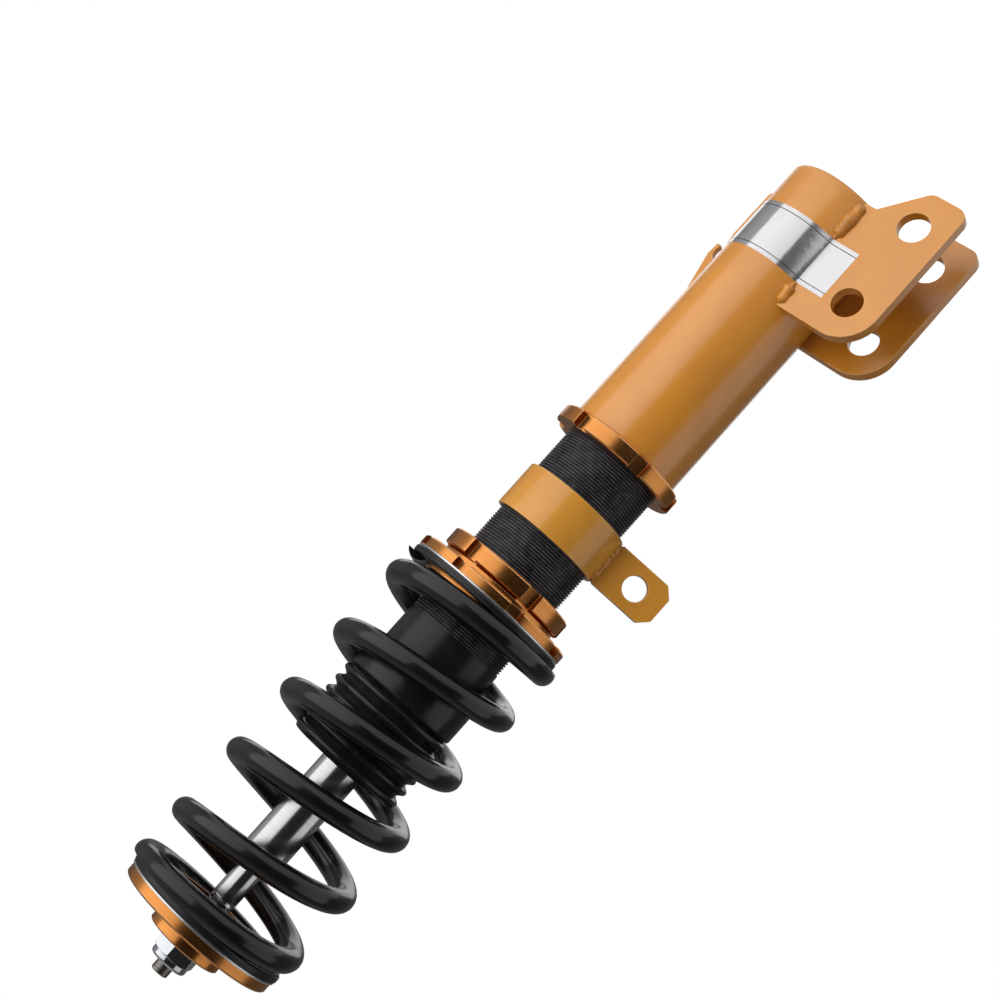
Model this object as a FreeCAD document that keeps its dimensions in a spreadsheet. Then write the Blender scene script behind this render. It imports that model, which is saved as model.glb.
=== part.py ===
import FreeCAD, Part
import math
import os

import Sketcher

# A height-adjustable coilover strut, in millimetres.
# The origin is the centre of the lower clevis bore, midway between the two ears.
# +Z runs along the strut towards the top nut, and the clevis opens towards +X.
# The strut's own axis is parallel to Z and stands strut_offset behind the clevis bores.
# Azimuths are degrees about the strut's axis, from +X towards +Y.

DRIVING_SIZES = [
    ("strut_offset", 50.0, "strut axis to the line of the clevis bores"),
    ("thread_radius", 26.5, "outside of the damper body's thread"),
    ("running_gap", 0.05, "radial clearance of a sliding or threaded fit"),
    ("seat_gap", 0.3, "clearance between pieces of different bodies that face each other"),
    ("tube_wall", 3.45, "lower bracket tube, wall"),
    ("tube_top", 164.0, "lower bracket tube, height of its open end"),
    ("tube_edge", 2.5, "rounding of the tube's bottom edge"),
    ("edge_break", 1.0, "edge chamfer of the perch, the collars and the rod's shoulder"),
    ("small_break", 0.6, "edge chamfer of the seat's boss and the rod's tip"),
    ("thread_fit", 0.02, "radial clearance of a small thread"),
    ("plug_low", 1.5, "base plug, height of its underside"),
    ("plug_thick", 5.0, "base plug, thickness"),
    ("plug_boss_radius", 12.0, "boss under the base plug, radius"),
    ("plug_boss_drop", 4.0, "boss under the base plug, depth"),
    ("plug_boss_edge", 1.5, "boss under the base plug, edge chamfer"),
    ("clevis_gap", 30.0, "distance between the clevis ears"),
    ("ear_thick", 6.0, "clevis ear, plate thickness"),
    ("ear_margin", 18.0, "clevis ear, outer edge beyond the bores"),
    ("ear_top_margin", 19.0, "clevis ear, top edge above the upper bore"),
    ("ear_low_margin", 19.5, "clevis ear, bottom edge below the lower bore"),
    ("ear_heel_inset", 4.0, "clevis ear, where the bottom edge turns up, from the bores"),
    ("ear_root_inset", 2.0, "clevis ear, where the slanted edge meets the tube, inside its surface"),
    ("ear_foot", 1.0, "clevis ear, foot above the tube's end"),
    ("ear_sink", 3.0, "clevis ear, plate before it is trimmed to the tube"),
    ("ear_top_round", 19.0, "clevis ear, top outer corner radius"),
    ("ear_low_round", 6.5, "clevis ear, lower corner radius"),
    ("upper_bore_height", 48.0, "upper clevis bore above the lower one"),
    ("upper_bore_radius", 7.75, "upper clevis bore"),
    ("lower_bore_radius", 8.0, "lower clevis bore"),
    ("weld_radius", 3.6, "weld bead along an ear or bracket"),
    ("hose_azimuth", 194.0, "hose bracket"),
    ("hose_thick", 3.0, "hose bracket, plate thickness"),
    ("hose_low", 9.0, "hose bracket, height of its feet"),
    ("hose_high", 75.0, "hose bracket, height of its prongs"),
    ("hose_width", 19.7, "hose bracket, outermost edge from the tube"),
    ("hose_hole_height", 29.6, "hose bracket, height of the screw hole"),
    ("hose_hole_radius", 3.5, "hose bracket, screw hole"),
    ("hose_hole_out", 8.0, "hose bracket, screw hole from the tube"),
    ("hose_hook_out", 12.0, "hose hook, centre from the tube"),
    ("hose_hook_height", 50.0, "hose hook, height of its centre"),
    ("hose_hook_radius", 5.0, "hose hook, inside radius"),
    ("hose_round", 1.8, "hose bracket, corner radius"),
    ("ring_width", 8.6, "lock rings, outside beyond the thread"),
    ("lower_ring_thick", 8.4, "lock ring on the bracket, height"),
    ("upper_ring_thick", 9.0, "lock ring under the perch, height"),
    ("ring_chamfer", 0.8, "lock rings, edge chamfer"),
    ("spanner_slots", 6, "slots for the pin spanner in a lock ring"),
    ("slot_width", 8.2, "spanner slot, width"),
    ("slot_depth", 4.2, "spanner slot, depth"),
    ("lower_ring_azimuth", 41.4, "a slot of the lower lock ring"),
    ("upper_ring_azimuth", 35.1, "a slot of the upper lock ring"),
    ("body_bottom", 60.0, "damper body, lower end inside the tube"),
    ("body_above_ring", 78.4, "damper body, upper end above the lock ring under the perch"),
    ("body_wall", 3.0, "damper body, wall"),
    ("cap_thick", 8.0, "damper end cap, thickness"),
    ("cap_dish", 2.0, "damper end cap, depth of its dish"),
    ("valve_flange_thick", 6.0, "base valve, flange"),
    ("valve_spigot_tall", 6.0, "base valve, spigot inside the pressure cylinder"),
    ("valve_ports", 6, "ports round the base valve or the piston"),
    ("port_radius", 1.6, "one port"),
    ("cylinder_bore_radius", 17.5, "pressure cylinder, bore"),
    ("cylinder_wall", 1.5, "pressure cylinder, wall"),
    ("gland_thick", 9.0, "gland nut, height"),
    ("gland_play", 0.6, "gland nut and bump stop, radial clearance round the rod"),
    ("gland_holes", 4, "spanner holes in the gland nut"),
    ("gland_hole_radius", 2.0, "spanner hole of the gland nut"),
    ("gland_hole_deep", 4.0, "spanner hole of the gland nut, depth"),
    ("seal_tall", 7.0, "oil seal, height"),
    ("guide_flange_tall", 6.0, "rod guide, flange"),
    ("guide_spigot_tall", 6.0, "rod guide, spigot inside the pressure cylinder"),
    ("bushing_wall", 0.8, "rod bushing, wall"),
    ("rod_radius", 11.0, "piston rod"),
    ("shoulder_drop", 32.4, "shoulder of the rod below the upper seat"),
    ("stub_radius", 6.6, "plain stub above the shoulder"),
    ("stud_radius", 6.0, "threaded top of the rod, outside of the thread"),
    ("stud_drop", 12.4, "start of the rod's top thread below the upper seat"),
    ("tip_radius", 4.5, "plain tip above the nut"),
    ("tip_tall", 5.7, "plain tip above the top nut"),
    ("spindle_radius", 2.6, "damping adjuster spindle inside the rod"),
    ("spindle_sink", 1.5, "adjuster spindle below the tip's end"),
    ("spindle_lift", 5.3, "adjuster spindle's point above the rebound stop's underside"),
    ("socket_radius", 1.7, "adjuster spindle, hexagon socket across corners, half"),
    ("socket_deep", 4.0, "adjuster spindle, socket depth"),
    ("stop_radius", 15.0, "rebound stop"),
    ("stop_tall", 14.0, "rebound stop"),
    ("shims", 4, "shims on each side of the piston"),
    ("shim_width", 2.0, "largest shim, beyond the rod"),
    ("shim_step", 0.9, "each further shim is smaller by this radius"),
    ("shim_thick", 0.5, "one shim"),
    ("piston_tall", 20.0, "piston"),
    ("piston_play", 0.4, "piston below the cylinder's bore, radial"),
    ("band_seal_tall", 8.0, "piston band"),
    ("band_seal_thick", 1.2, "piston band"),
    ("piston_nut_radius", 9.5, "piston nut, across corners, half"),
    ("piston_nut_tall", 8.0, "piston nut"),
    ("bump_radius", 19.0, "bump stop inside the boot"),
    ("bump_tall", 28.0, "bump stop inside the boot"),
    ("boot_skirt_tall", 18.0, "dust boot, height of its skirt"),
    ("boot_skirt_cover", 16.0, "dust boot, skirt below the damper body's top"),
    ("boot_ribbed_tall", 40.5, "dust boot, height of the ribbed part"),
    ("boot_skirt_wall", 3.5, "dust boot, skirt beyond the thread"),
    ("boot_crest_rise", 4.7, "dust boot, rib crests beyond the thread"),
    ("boot_valley_rise", 1.6, "dust boot, between the ribs, beyond the thread"),
    ("boot_wall", 1.8, "dust boot, wall"),
    ("boot_ribs", 6, "dust boot, ribs"),
    ("band_lift", 24.6, "link band above the lower lock ring"),
    ("band_tall", 24.3, "link band, height"),
    ("band_thick", 2.4, "link band, strip thickness"),
    ("tab_azimuth", -34.0, "anti-roll bar link tab"),
    ("tab_thick", 6.0, "link tab"),
    ("tab_length", 34.65, "link tab, outer end from the band"),
    ("tab_hole_inset", 16.0, "link tab, hole from its outer end"),
    ("tab_hole_radius", 6.35, "link tab, hole"),
    ("tab_corner", 5.0, "link tab, cut corners"),
    ("tab_relief", 1.5, "notch at the link tab's root"),
    ("tab_step", 0.3, "link tab below the band's edges"),
    ("clamp_azimuth", -119.0, "clamping flanges of the link band"),
    ("clamp_length", 22.05, "clamping flanges, outer end from the band"),
    ("clamp_corner", 3.0, "clamping flanges, cut corners"),
    ("clamp_gap", 4.0, "slit between the clamping flanges"),
    ("clamp_bolt_inset", 10.0, "clamp bolt, from the flanges' outer end"),
    ("bolt_radius", 3.0, "clamp bolt"),
    ("bolt_hole_play", 0.3, "radial clearance of the clamp bolt in the flanges"),
    ("bolt_head_radius", 5.75, "clamp bolt and nut, across corners, half"),
    ("bolt_head_tall", 4.0, "clamp bolt head"),
    ("bolt_nut_tall", 5.0, "clamp nut"),
    ("bolt_tail", 2.5, "clamp bolt beyond its nut"),
    ("upper_ring_lift", 22.3, "lock ring under the perch above the link band"),
    ("perch_hub_tall", 3.2, "spring perch, hub below its flange"),
    ("perch_flange_thick", 5.2, "spring perch, flange"),
    ("perch_margin", 2.3, "spring perch, flange beyond the wire's middle"),
    ("perch_hub_wall", 6.5, "spring perch, hub beyond the thread"),
    ("perch_slots", 8, "spanner slots in the perch's flange"),
    ("perch_slot_width", 8.4, "spanner slot of the perch"),
    ("perch_slot_depth", 5.2, "spanner slot of the perch"),
    ("perch_azimuth", 41.7, "a slot of the perch"),
    ("collar_width", 8.2, "collars that centre the spring, beyond the thread"),
    ("collar_wall", 4.0, "collar of the upper seat"),
    ("collar_tall", 7.2, "collars above or below their flange"),
    ("washer_thick", 1.0, "slip washers"),
    ("washer_margin", 2.05, "slip washers, beyond the wire's middle"),
    ("pad_thick", 3.6, "spring pads"),
    ("pad_margin", 2.55, "spring pads, beyond the wire's middle"),
    ("spring_length", 190.2, "spring between its pads, as fitted"),
    ("wire_radius", 6.15, "spring wire"),
    ("spring_play", 0.5, "radial clearance of the spring round its collars"),
    ("spring_turns", 6.4, "turns of the wire from tip to tip"),
    ("spring_azimuth", 146.0, "lower tip of the spring"),
    ("seat_margin", 1.3, "upper spring seat, flange beyond the wire's middle"),
    ("seat_thick", 5.6, "upper spring seat, flange"),
    ("boss_radius", 20.1, "upper spring seat, boss under the nut"),
    ("boss_tall", 8.5, "upper spring seat, boss"),
    ("nut_corner_radius", 11.4, "top nut, across corners, half"),
    ("nut_tall", 7.7, "top nut, hexagon"),
    ("nut_collar_radius", 9.8, "top nut, collar round its insert"),
    ("nut_collar_tall", 3.4, "top nut, collar"),
    ("nut_azimuth", 9.0, "a corner of the top nut"),
    ("insert_wall", 2.1, "locking insert inside the top nut's collar"),
    ("insert_tall", 2.6, "locking insert, height"),
]

FULL_TURN = 360.0
NODE_SPANS_PER_TURN = 4
CLOSED_TURNS = 0.65
OPENING_TURNS = 0.40
GROUND_SHARE = 0.75
GAP_SAMPLES_PER_TURN = 240

doc = FreeCAD.newDocument("coilover")
sheet = doc.addObject("Spreadsheet::Sheet", "sizes")


class Size:
    """A length, angle or count, with the formula that ties a property to the sheet."""

    def __init__(self, value, formula):
        self.value = float(value)
        self.formula = formula

    @staticmethod
    def of(thing):
        if isinstance(thing, Size):
            return thing
        return Size(thing, repr(float(thing)))

    def join(self, other, sign, value):
        return Size(value, "(" + self.formula + " " + sign + " " + other.formula + ")")

    def __add__(self, other):
        other = Size.of(other)
        return self.join(other, "+", self.value + other.value)

    def __sub__(self, other):
        other = Size.of(other)
        return self.join(other, "-", self.value - other.value)

    def __mul__(self, other):
        other = Size.of(other)
        return self.join(other, "*", self.value * other.value)

    def __truediv__(self, other):
        other = Size.of(other)
        return self.join(other, "/", self.value / other.value)

    def __radd__(self, other):
        return Size.of(other) + self

    def __rsub__(self, other):
        return Size.of(other) - self

    def __rmul__(self, other):
        return Size.of(other) * self

    def __neg__(self):
        return Size.of(0.0) - self

    def sine(self):
        return Size(math.sin(math.radians(self.value)), "sin(" + self.formula + ")")

    def cosine(self):
        return Size(math.cos(math.radians(self.value)), "cos(" + self.formula + ")")

    def root(self):
        return Size(math.sqrt(self.value), "sqrt(" + self.formula + ")")


class Sizes:
    """The driving sizes by name."""


S = Sizes()


def fill_sheet():
    """Writes each driving size to the sheet, with its alias and what it measures."""
    for row, (alias, value, note) in enumerate(DRIVING_SIZES, start=1):
        sheet.set("A%d" % row, alias)
        sheet.set("B%d" % row, str(value))
        sheet.set("C%d" % row, note)
        sheet.setAlias("B%d" % row, alias)
    doc.recompute()
    for alias, _, _ in DRIVING_SIZES:
        setattr(S, alias, Size(getattr(sheet, alias), "sizes." + alias))


fill_sheet()

# Radii and reaches that follow from the driving sizes, from the thread outwards.
thread_bore = S.thread_radius + S.running_gap
tube_radius = thread_bore + S.tube_wall
ring_radius = S.thread_radius + S.ring_width
band_outer = thread_bore + S.band_thick
tab_reach = band_outer + S.tab_length
tab_hole_reach = tab_reach - S.tab_hole_inset
clamp_reach = band_outer + S.clamp_length
clamp_bolt_reach = clamp_reach - S.clamp_bolt_inset
perch_hub_radius = S.thread_radius + S.perch_hub_wall
collar_radius = S.thread_radius + S.collar_width
washer_bore = collar_radius + S.seat_gap
coil_radius = collar_radius + S.spring_play + S.wire_radius
perch_radius = coil_radius + S.perch_margin
washer_radius = coil_radius + S.washer_margin
pad_radius = coil_radius + S.pad_margin
seat_radius = coil_radius + S.seat_margin
boot_skirt_radius = S.thread_radius + S.boot_skirt_wall
boot_crest_radius = S.thread_radius + S.boot_crest_rise
boot_valley_radius = S.thread_radius + S.boot_valley_rise
body_bore = S.thread_radius - S.body_wall
fit_radius = body_bore - S.running_gap
spigot_radius = S.cylinder_bore_radius - S.running_gap
bushing_bore = S.rod_radius + S.running_gap
bushing_outer = bushing_bore + S.bushing_wall
shim_radius = S.rod_radius + S.shim_width
ear_middle = (S.clevis_gap + S.ear_thick) / 2
ear_outer = S.clevis_gap / 2 + S.ear_thick
ear_corner = (tube_radius * tube_radius - ear_outer * ear_outer).root()
ear_reach = S.strut_offset + S.ear_margin
ear_heel = S.strut_offset - S.ear_heel_inset
ear_root = tube_radius - S.ear_root_inset
hose_reach = tube_radius + S.hose_width
hose_hole_reach = tube_radius + S.hose_hole_out
hose_hook_reach = tube_radius + S.hose_hook_out

# Heights, from the clevis upwards.
ear_top = S.upper_bore_height + S.ear_top_margin
ear_bottom = -S.ear_low_margin
cap_top = S.body_bottom + S.cap_thick
cylinder_low = cap_top + S.valve_flange_thick
lower_ring_top = S.tube_top + S.lower_ring_thick
band_low = lower_ring_top + S.band_lift
band_top = band_low + S.band_tall
upper_ring_low = band_top + S.upper_ring_lift
upper_ring_top = upper_ring_low + S.upper_ring_thick
perch_flange_low = upper_ring_top + S.perch_hub_tall
perch_top = perch_flange_low + S.perch_flange_thick
lower_washer_top = perch_top + S.washer_thick
lower_pad_top = lower_washer_top + S.pad_thick
spring_top = lower_pad_top + S.spring_length
upper_pad_top = spring_top + S.pad_thick
seat_low = upper_pad_top + S.washer_thick
seat_flange_top = seat_low + S.seat_thick
seat_top = seat_flange_top + S.boss_tall
nut_top = seat_top + S.nut_tall
collar_top = nut_top + S.nut_collar_tall
tip_top = collar_top + S.tip_tall
rod_shoulder = seat_low - S.shoulder_drop
stud_start = seat_low - S.stud_drop
body_top = upper_ring_low + S.body_above_ring
boot_low = body_top - S.boot_skirt_cover
boot_shoulder = boot_low + S.boot_skirt_tall
boot_top = boot_shoulder + S.boot_ribbed_tall
gland_low = body_top - S.gland_thick
seal_low = gland_low - S.seal_tall
guide_flange_low = seal_low - S.guide_flange_tall
guide_low = guide_flange_low - S.guide_spigot_tall
stop_top = guide_low - S.seat_gap
stop_low = stop_top - S.stop_tall
spindle_bottom = stop_low + S.spindle_lift
shim_stack_tall = S.shims * S.shim_thick
piston_top = stop_low - shim_stack_tall
piston_low = piston_top - S.piston_tall
shims_low = piston_low - shim_stack_tall
piston_nut_low = shims_low - S.piston_nut_tall


def origin_item(body, role):
    """A plane or axis of the body's own origin."""
    return next(item for item in body.Origin.OriginFeatures if item.Role == role)


def new_body(label):
    """An empty body that stands on the strut's axis."""
    body = doc.addObject("PartDesign::Body", label)
    body.Label = label
    body.setExpression("Placement.Base.x", "-sizes.strut_offset")
    return body


def sketch_on(body, role, lift=None, turn=None):
    """A sketch on the body's XY plane, or on its XZ plane turned about the strut's axis."""
    sketch = body.newObject("Sketcher::SketchObject", body.Label + "_sketch")
    sketch.AttachmentSupport = [(origin_item(body, role), "")]
    sketch.MapMode = "FlatFace"
    axis = FreeCAD.Vector(0, 0, 1) if role == "XY_Plane" else FreeCAD.Vector(0, 1, 0)
    if turn is not None:
        turn = Size.of(turn)
        sketch.AttachmentOffset = FreeCAD.Placement(
            FreeCAD.Vector(), FreeCAD.Rotation(axis, turn.value)
        )
        sketch.setExpression("AttachmentOffset.Rotation.Angle", turn.formula)
    if lift is not None:
        lift = Size.of(lift)
        if role == "XY_Plane" or turn is None:
            sketch.setExpression("AttachmentOffset.Base.z", lift.formula)
        else:
            sketch.setExpression("AttachmentOffset.Base.x", (lift * turn.sine()).formula)
            sketch.setExpression("AttachmentOffset.Base.z", (lift * turn.cosine()).formula)
    return sketch


def tie(sketch, kind, line, point, thing):
    """Holds one coordinate of a point at a size."""
    thing = Size.of(thing)
    if abs(thing.value) < 1e-9:
        axis = -2 if kind == "DistanceX" else -1
        sketch.addConstraint(Sketcher.Constraint("PointOnObject", line, point, axis))
        return
    number = sketch.addConstraint(
        Sketcher.Constraint(kind, -1, 1, line, point, thing.value)
    )
    sketch.setExpression("Constraints[%d]" % number, thing.formula)


def outline(sketch, points):
    """A closed outline of straight lines through the points."""
    places = [FreeCAD.Vector(Size.of(u).value, Size.of(v).value, 0) for u, v in points]
    first = sketch.GeometryCount
    count = len(places)
    for i in range(count):
        sketch.addGeometry(Part.LineSegment(places[i], places[(i + 1) % count]))
    for i in range(count):
        after = first + (i + 1) % count
        sketch.addConstraint(Sketcher.Constraint("Coincident", first + i, 2, after, 1))
    for i, (u, v) in enumerate(points):
        tie(sketch, "DistanceX", first + i, 1, u)
        tie(sketch, "DistanceY", first + i, 1, v)


def circle(sketch, radius, u=0.0, v=0.0):
    """A circle about a point of the sketch."""
    radius = Size.of(radius)
    place = FreeCAD.Vector(Size.of(u).value, Size.of(v).value, 0)
    number = sketch.addGeometry(Part.Circle(place, FreeCAD.Vector(0, 0, 1), radius.value))
    tie(sketch, "DistanceX", number, 3, u)
    tie(sketch, "DistanceY", number, 3, v)
    held = sketch.addConstraint(Sketcher.Constraint("Radius", number, radius.value))
    sketch.setExpression("Constraints[%d]" % held, radius.formula)


def hexagon(sketch, radius, u=0.0, v=0.0, turn=0.0):
    """A regular hexagon with a corner at the turn's angle."""
    turn = Size.of(turn)
    corners = []
    for k in range(6):
        angle = turn + 60.0 * k
        corners.append((u + radius * angle.cosine(), v + radius * angle.sine()))
    outline(sketch, corners)


def settle(body, feature):
    """Recomputes the document, with the feature as the body's result."""
    body.Tip = feature
    doc.recompute()
    return feature


def revolve(body, points):
    """Material turned about the strut's axis, from an outline of radius and height."""
    sketch = sketch_on(body, "XZ_Plane")
    outline(sketch, points)
    feature = body.newObject("PartDesign::Revolution", body.Label + "_turned")
    feature.Profile = sketch
    feature.ReferenceAxis = (sketch, ["V_Axis"])
    feature.Angle = FULL_TURN
    return settle(body, feature)


def pad(body, sketch, length, both_ways=False):
    """Material raised from a sketch along its normal, or half each way."""
    length = Size.of(length)
    feature = body.newObject("PartDesign::Pad", body.Label + "_pad")
    feature.Profile = sketch
    feature.SideType = "Symmetric" if both_ways else "One side"
    feature.Length = length.value
    feature.setExpression("Length", length.formula)
    return settle(body, feature)


def pocket(body, sketch, depth=None, both_ways=True, reverse=False):
    """Material removed along a sketch's normal, right through unless a depth is given."""
    before = body.Shape.Volume
    feature = body.newObject("PartDesign::Pocket", body.Label + "_pocket")
    feature.Profile = sketch
    if depth is None:
        feature.Type = "ThroughAll"
        feature.SideType = "Symmetric"
    else:
        depth = Size.of(depth)
        feature.SideType = "Symmetric" if both_ways else "One side"
        feature.Length = depth.value
        feature.setExpression("Length", depth.formula)
    feature.Reversed = reverse
    settle(body, feature)
    if body.Shape.Volume > before - 1e-6:
        raise RuntimeError(body.Label + ": a pocket removed nothing")
    return feature


def around(body, feature, count):
    """Repeats a feature about the strut's axis."""
    before = body.Shape.Volume
    count = Size.of(count)
    pattern = body.newObject("PartDesign::PolarPattern", body.Label + "_pattern")
    pattern.Originals = [feature]
    pattern.Axis = (origin_item(body, "Z_Axis"), [""])
    pattern.Angle = FULL_TURN
    pattern.Occurrences = int(round(count.value))
    pattern.setExpression("Occurrences", count.formula)
    settle(body, pattern)
    if abs(body.Shape.Volume - before) < 1e-6:
        raise RuntimeError(body.Label + ": a pattern changed nothing")
    return pattern


def edges_where(feature, test):
    """Names of the feature's edges whose middle point passes the test."""
    names = []
    for number, edge in enumerate(feature.Shape.Edges, start=1):
        middle = edge.valueAt((edge.FirstParameter + edge.LastParameter) / 2)
        if test(edge, middle):
            names.append("Edge%d" % number)
    return names


def dress(body, kind, names, amount):
    """Rounds or chamfers the named edges of the body's last feature."""
    amount = Size.of(amount)
    base = body.Tip
    feature = body.newObject("PartDesign::" + kind, body.Label + "_" + kind.lower())
    feature.Base = (base, names)
    key = "Radius" if kind == "Fillet" else "Size"
    setattr(feature, key, amount.value)
    feature.setExpression(key, amount.formula)
    return settle(body, feature)


def rims_at(feature, radius, height):
    """The circular edges of a radius at a height."""
    def is_rim(edge, middle):
        away = math.hypot(middle.x, middle.y)
        flat = edge.BoundBox.ZLength < 1e-6
        return flat and abs(away - radius.value) < 1e-4 and abs(middle.z - height.value) < 1e-4
    return edges_where(feature, is_rim)


def corner_at(feature, reach, height):
    """The edges across a radial plate at one corner of its outline."""
    def is_corner(edge, middle):
        away = math.hypot(middle.x, middle.y)
        lean = abs(away - reach.value) < 0.6
        return edge.BoundBox.ZLength < 1e-6 and lean and abs(middle.z - height.value) < 1e-4
    return edges_where(feature, is_corner)


def sleeve(label, inner, outer, low, high):
    """A plain ring or bush about the strut's axis."""
    body = new_body(label)
    revolve(body, [(inner, low), (outer, low), (outer, high), (inner, high)])
    return body


# Lower bracket: the tube with its plug, the clevis ears, the hose bracket and the welds.


def make_lower_tube():
    tube = sleeve("lower_tube", thread_bore, tube_radius, Size.of(0.0), S.tube_top)
    dress(tube, "Fillet", rims_at(tube.Tip, tube_radius, Size.of(0.0)), S.tube_edge)
    dress(tube, "Chamfer", rims_at(tube.Tip, tube_radius, S.tube_top), S.ring_chamfer)
    return tube


def make_base_plug():
    body = new_body("tube_base_plug")
    plug_top = S.plug_low + S.plug_thick
    boss_low = S.plug_low - S.plug_boss_drop
    revolve(body, [
        (0.0, boss_low),
        (S.plug_boss_radius - S.plug_boss_edge, boss_low),
        (S.plug_boss_radius, boss_low + S.plug_boss_edge),
        (S.plug_boss_radius, S.plug_low),
        (S.thread_radius, S.plug_low),
        (S.thread_radius, plug_top),
        (0.0, plug_top),
    ])
    return body


def make_clevis_ear(label, side):
    """One ear: a plate welded to the tube's flank, with the two knuckle bolt holes."""
    body = new_body(label)
    lift = ear_middle * (-side)
    start = ear_corner - S.ear_sink
    plate = sketch_on(body, "XZ_Plane", lift=lift)
    outline(plate, [
        (start, S.ear_foot),
        (ear_root, S.ear_foot),
        (ear_heel, ear_bottom),
        (ear_reach, ear_bottom),
        (ear_reach, ear_top),
        (start, ear_top),
    ])
    pad(body, plate, S.ear_thick, both_ways=True)
    far_top = (ear_reach, ear_top, S.ear_top_round)
    far_low = (ear_reach, ear_bottom, S.ear_low_round)
    near_low = (ear_heel, ear_bottom, S.ear_low_round)
    for reach, height, radius in (far_top, far_low, near_low):
        def is_corner(edge, middle, reach=reach, height=height):
            across = edge.BoundBox.XLength < 1e-6 and edge.BoundBox.ZLength < 1e-6
            near = abs(middle.x - reach.value) < 1e-4 and abs(middle.z - height.value) < 1e-4
            return across and near
        dress(body, "Fillet", edges_where(body.Tip, is_corner), radius)
    trim = sketch_on(body, "XY_Plane")
    circle(trim, tube_radius)
    pocket(body, trim)
    holes = sketch_on(body, "XZ_Plane", lift=lift)
    circle(holes, S.lower_bore_radius, S.strut_offset, 0.0)
    circle(holes, S.upper_bore_radius, S.strut_offset, S.upper_bore_height)
    pocket(body, holes)
    return body


def make_hose_bracket():
    """A thin radial plate with two prongs, a hook for the brake hose and a screw hole."""
    body = new_body("hose_bracket")
    high, low = S.hose_high, S.hose_low
    hook_u, hook_v = hose_hook_reach, S.hose_hook_height
    step = 5.0
    plate = sketch_on(body, "XZ_Plane", turn=S.hose_azimuth)
    outline(plate, [
        (tube_radius - 1.5, low),
        (tube_radius + step, low),
        (tube_radius + step, low + 9.0),
        (tube_radius + 2 * step - 0.5, low + 9.0),
        (tube_radius + 2 * step, low),
        (hose_reach - 4.7, low),
        (hose_reach - 4.7, hook_v - 12.0),
        (hose_reach - 6.2, hook_v - 5.6),
        (hook_u, hook_v - 2.8),
        (hook_u + 3.5, hook_v - 1.5),
        (hose_reach - 2.6, hook_v - 4.0),
        (hose_reach - 0.7, hook_v - 4.0),
        (hose_reach, hook_v + 3.0),
        (hose_reach - 6.1, high),
        (tube_radius + 9.0, high),
        (tube_radius + 9.0, high - 12.0),
        (tube_radius + 7.0, high - 12.0),
        (tube_radius + 7.0, high),
        (tube_radius - 1.5, high),
    ])
    pad(body, plate, S.hose_thick, both_ways=True)
    rounds = [(hose_reach - 4.7, low), (hose_reach - 6.1, high), (tube_radius + 9.0, high)]
    for reach, height in rounds:
        dress(body, "Fillet", corner_at(body.Tip, reach, height), S.hose_round)
    trim = sketch_on(body, "XY_Plane")
    circle(trim, tube_radius)
    pocket(body, trim)
    holes = sketch_on(body, "XZ_Plane", turn=S.hose_azimuth)
    circle(holes, S.hose_hole_radius, hose_hole_reach, S.hose_hole_height)
    circle(holes, S.hose_hook_radius, hook_u, hook_v)
    pocket(body, holes)
    return body


def standing_rod(name, radius, across, along, low, high):
    """An upright cylinder at a place given from the strut's axis."""
    rod = doc.addObject("Part::Cylinder", name)
    rod.setExpression("Radius", Size.of(radius).formula)
    rod.setExpression("Height", (high - low).formula)
    rod.setExpression("Placement.Base.x", (across - S.strut_offset).formula)
    rod.setExpression("Placement.Base.y", Size.of(along).formula)
    rod.setExpression("Placement.Base.z", Size.of(low).formula)
    return rod


def make_welds():
    """Beads in the corners between the tube and what is welded to it."""
    beads = []
    low, high = Size.of(3.0), ear_top - 2.0
    for side in (1.0, -1.0):
        name = "ear_bead_%d" % len(beads)
        across, along = ear_corner + 0.4, (ear_outer + 0.4) * side
        beads.append(standing_rod(name, S.weld_radius, across, along, low, high))
    for side in (1.0, -1.0):
        name = "bracket_bead_%d" % len(beads)
        turn = S.hose_azimuth + side * 3.6
        radius = S.weld_radius * 0.7
        across = tube_radius * turn.cosine()
        along = tube_radius * turn.sine()
        beads.append(standing_rod(name, radius, across, along, S.hose_low + 12.0, S.hose_high - 3.0))
    fused = doc.addObject("Part::MultiFuse", "bead_bars")
    fused.Shapes = beads
    tube = standing_rod("tube_space", tube_radius, Size.of(0.0), 0.0, Size.of(-5.0), S.tube_top)
    spaces = [tube]
    for side in (1.0, -1.0):
        box = doc.addObject("Part::Box", "ear_space")
        box.setExpression("Length", ear_reach.formula)
        box.setExpression("Width", S.ear_thick.formula)
        box.setExpression("Height", (ear_top + 5.0).formula)
        box.setExpression("Placement.Base.x", (-S.strut_offset).formula)
        start = S.clevis_gap / 2 if side > 0 else -ear_outer
        box.setExpression("Placement.Base.y", start.formula)
        box.Placement.Base.z = 0.0
        spaces.append(box)
    plate = doc.addObject("Part::Box", "bracket_space")
    plate.setExpression("Length", hose_reach.formula)
    plate.setExpression("Width", S.hose_thick.formula)
    plate.setExpression("Height", (S.hose_high + 5.0).formula)
    half = S.hose_thick / 2
    plate.Placement = FreeCAD.Placement(
        FreeCAD.Vector(), FreeCAD.Rotation(FreeCAD.Vector(0, 0, 1), S.hose_azimuth.value)
    )
    plate.setExpression("Placement.Rotation.Angle", S.hose_azimuth.formula)
    plate.setExpression("Placement.Base.x", (half * S.hose_azimuth.sine() - S.strut_offset).formula)
    plate.setExpression("Placement.Base.y", (-(half * S.hose_azimuth.cosine())).formula)
    spaces.append(plate)
    space = doc.addObject("Part::MultiFuse", "welded_pieces_space")
    space.Shapes = spaces
    cut = doc.addObject("Part::Cut", "weld_beads")
    cut.Base = fused
    cut.Tool = space
    cut.Label = "weld_beads"
    doc.recompute()
    return cut


# Damper: a twin-tube unit inside the threaded body.


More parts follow.
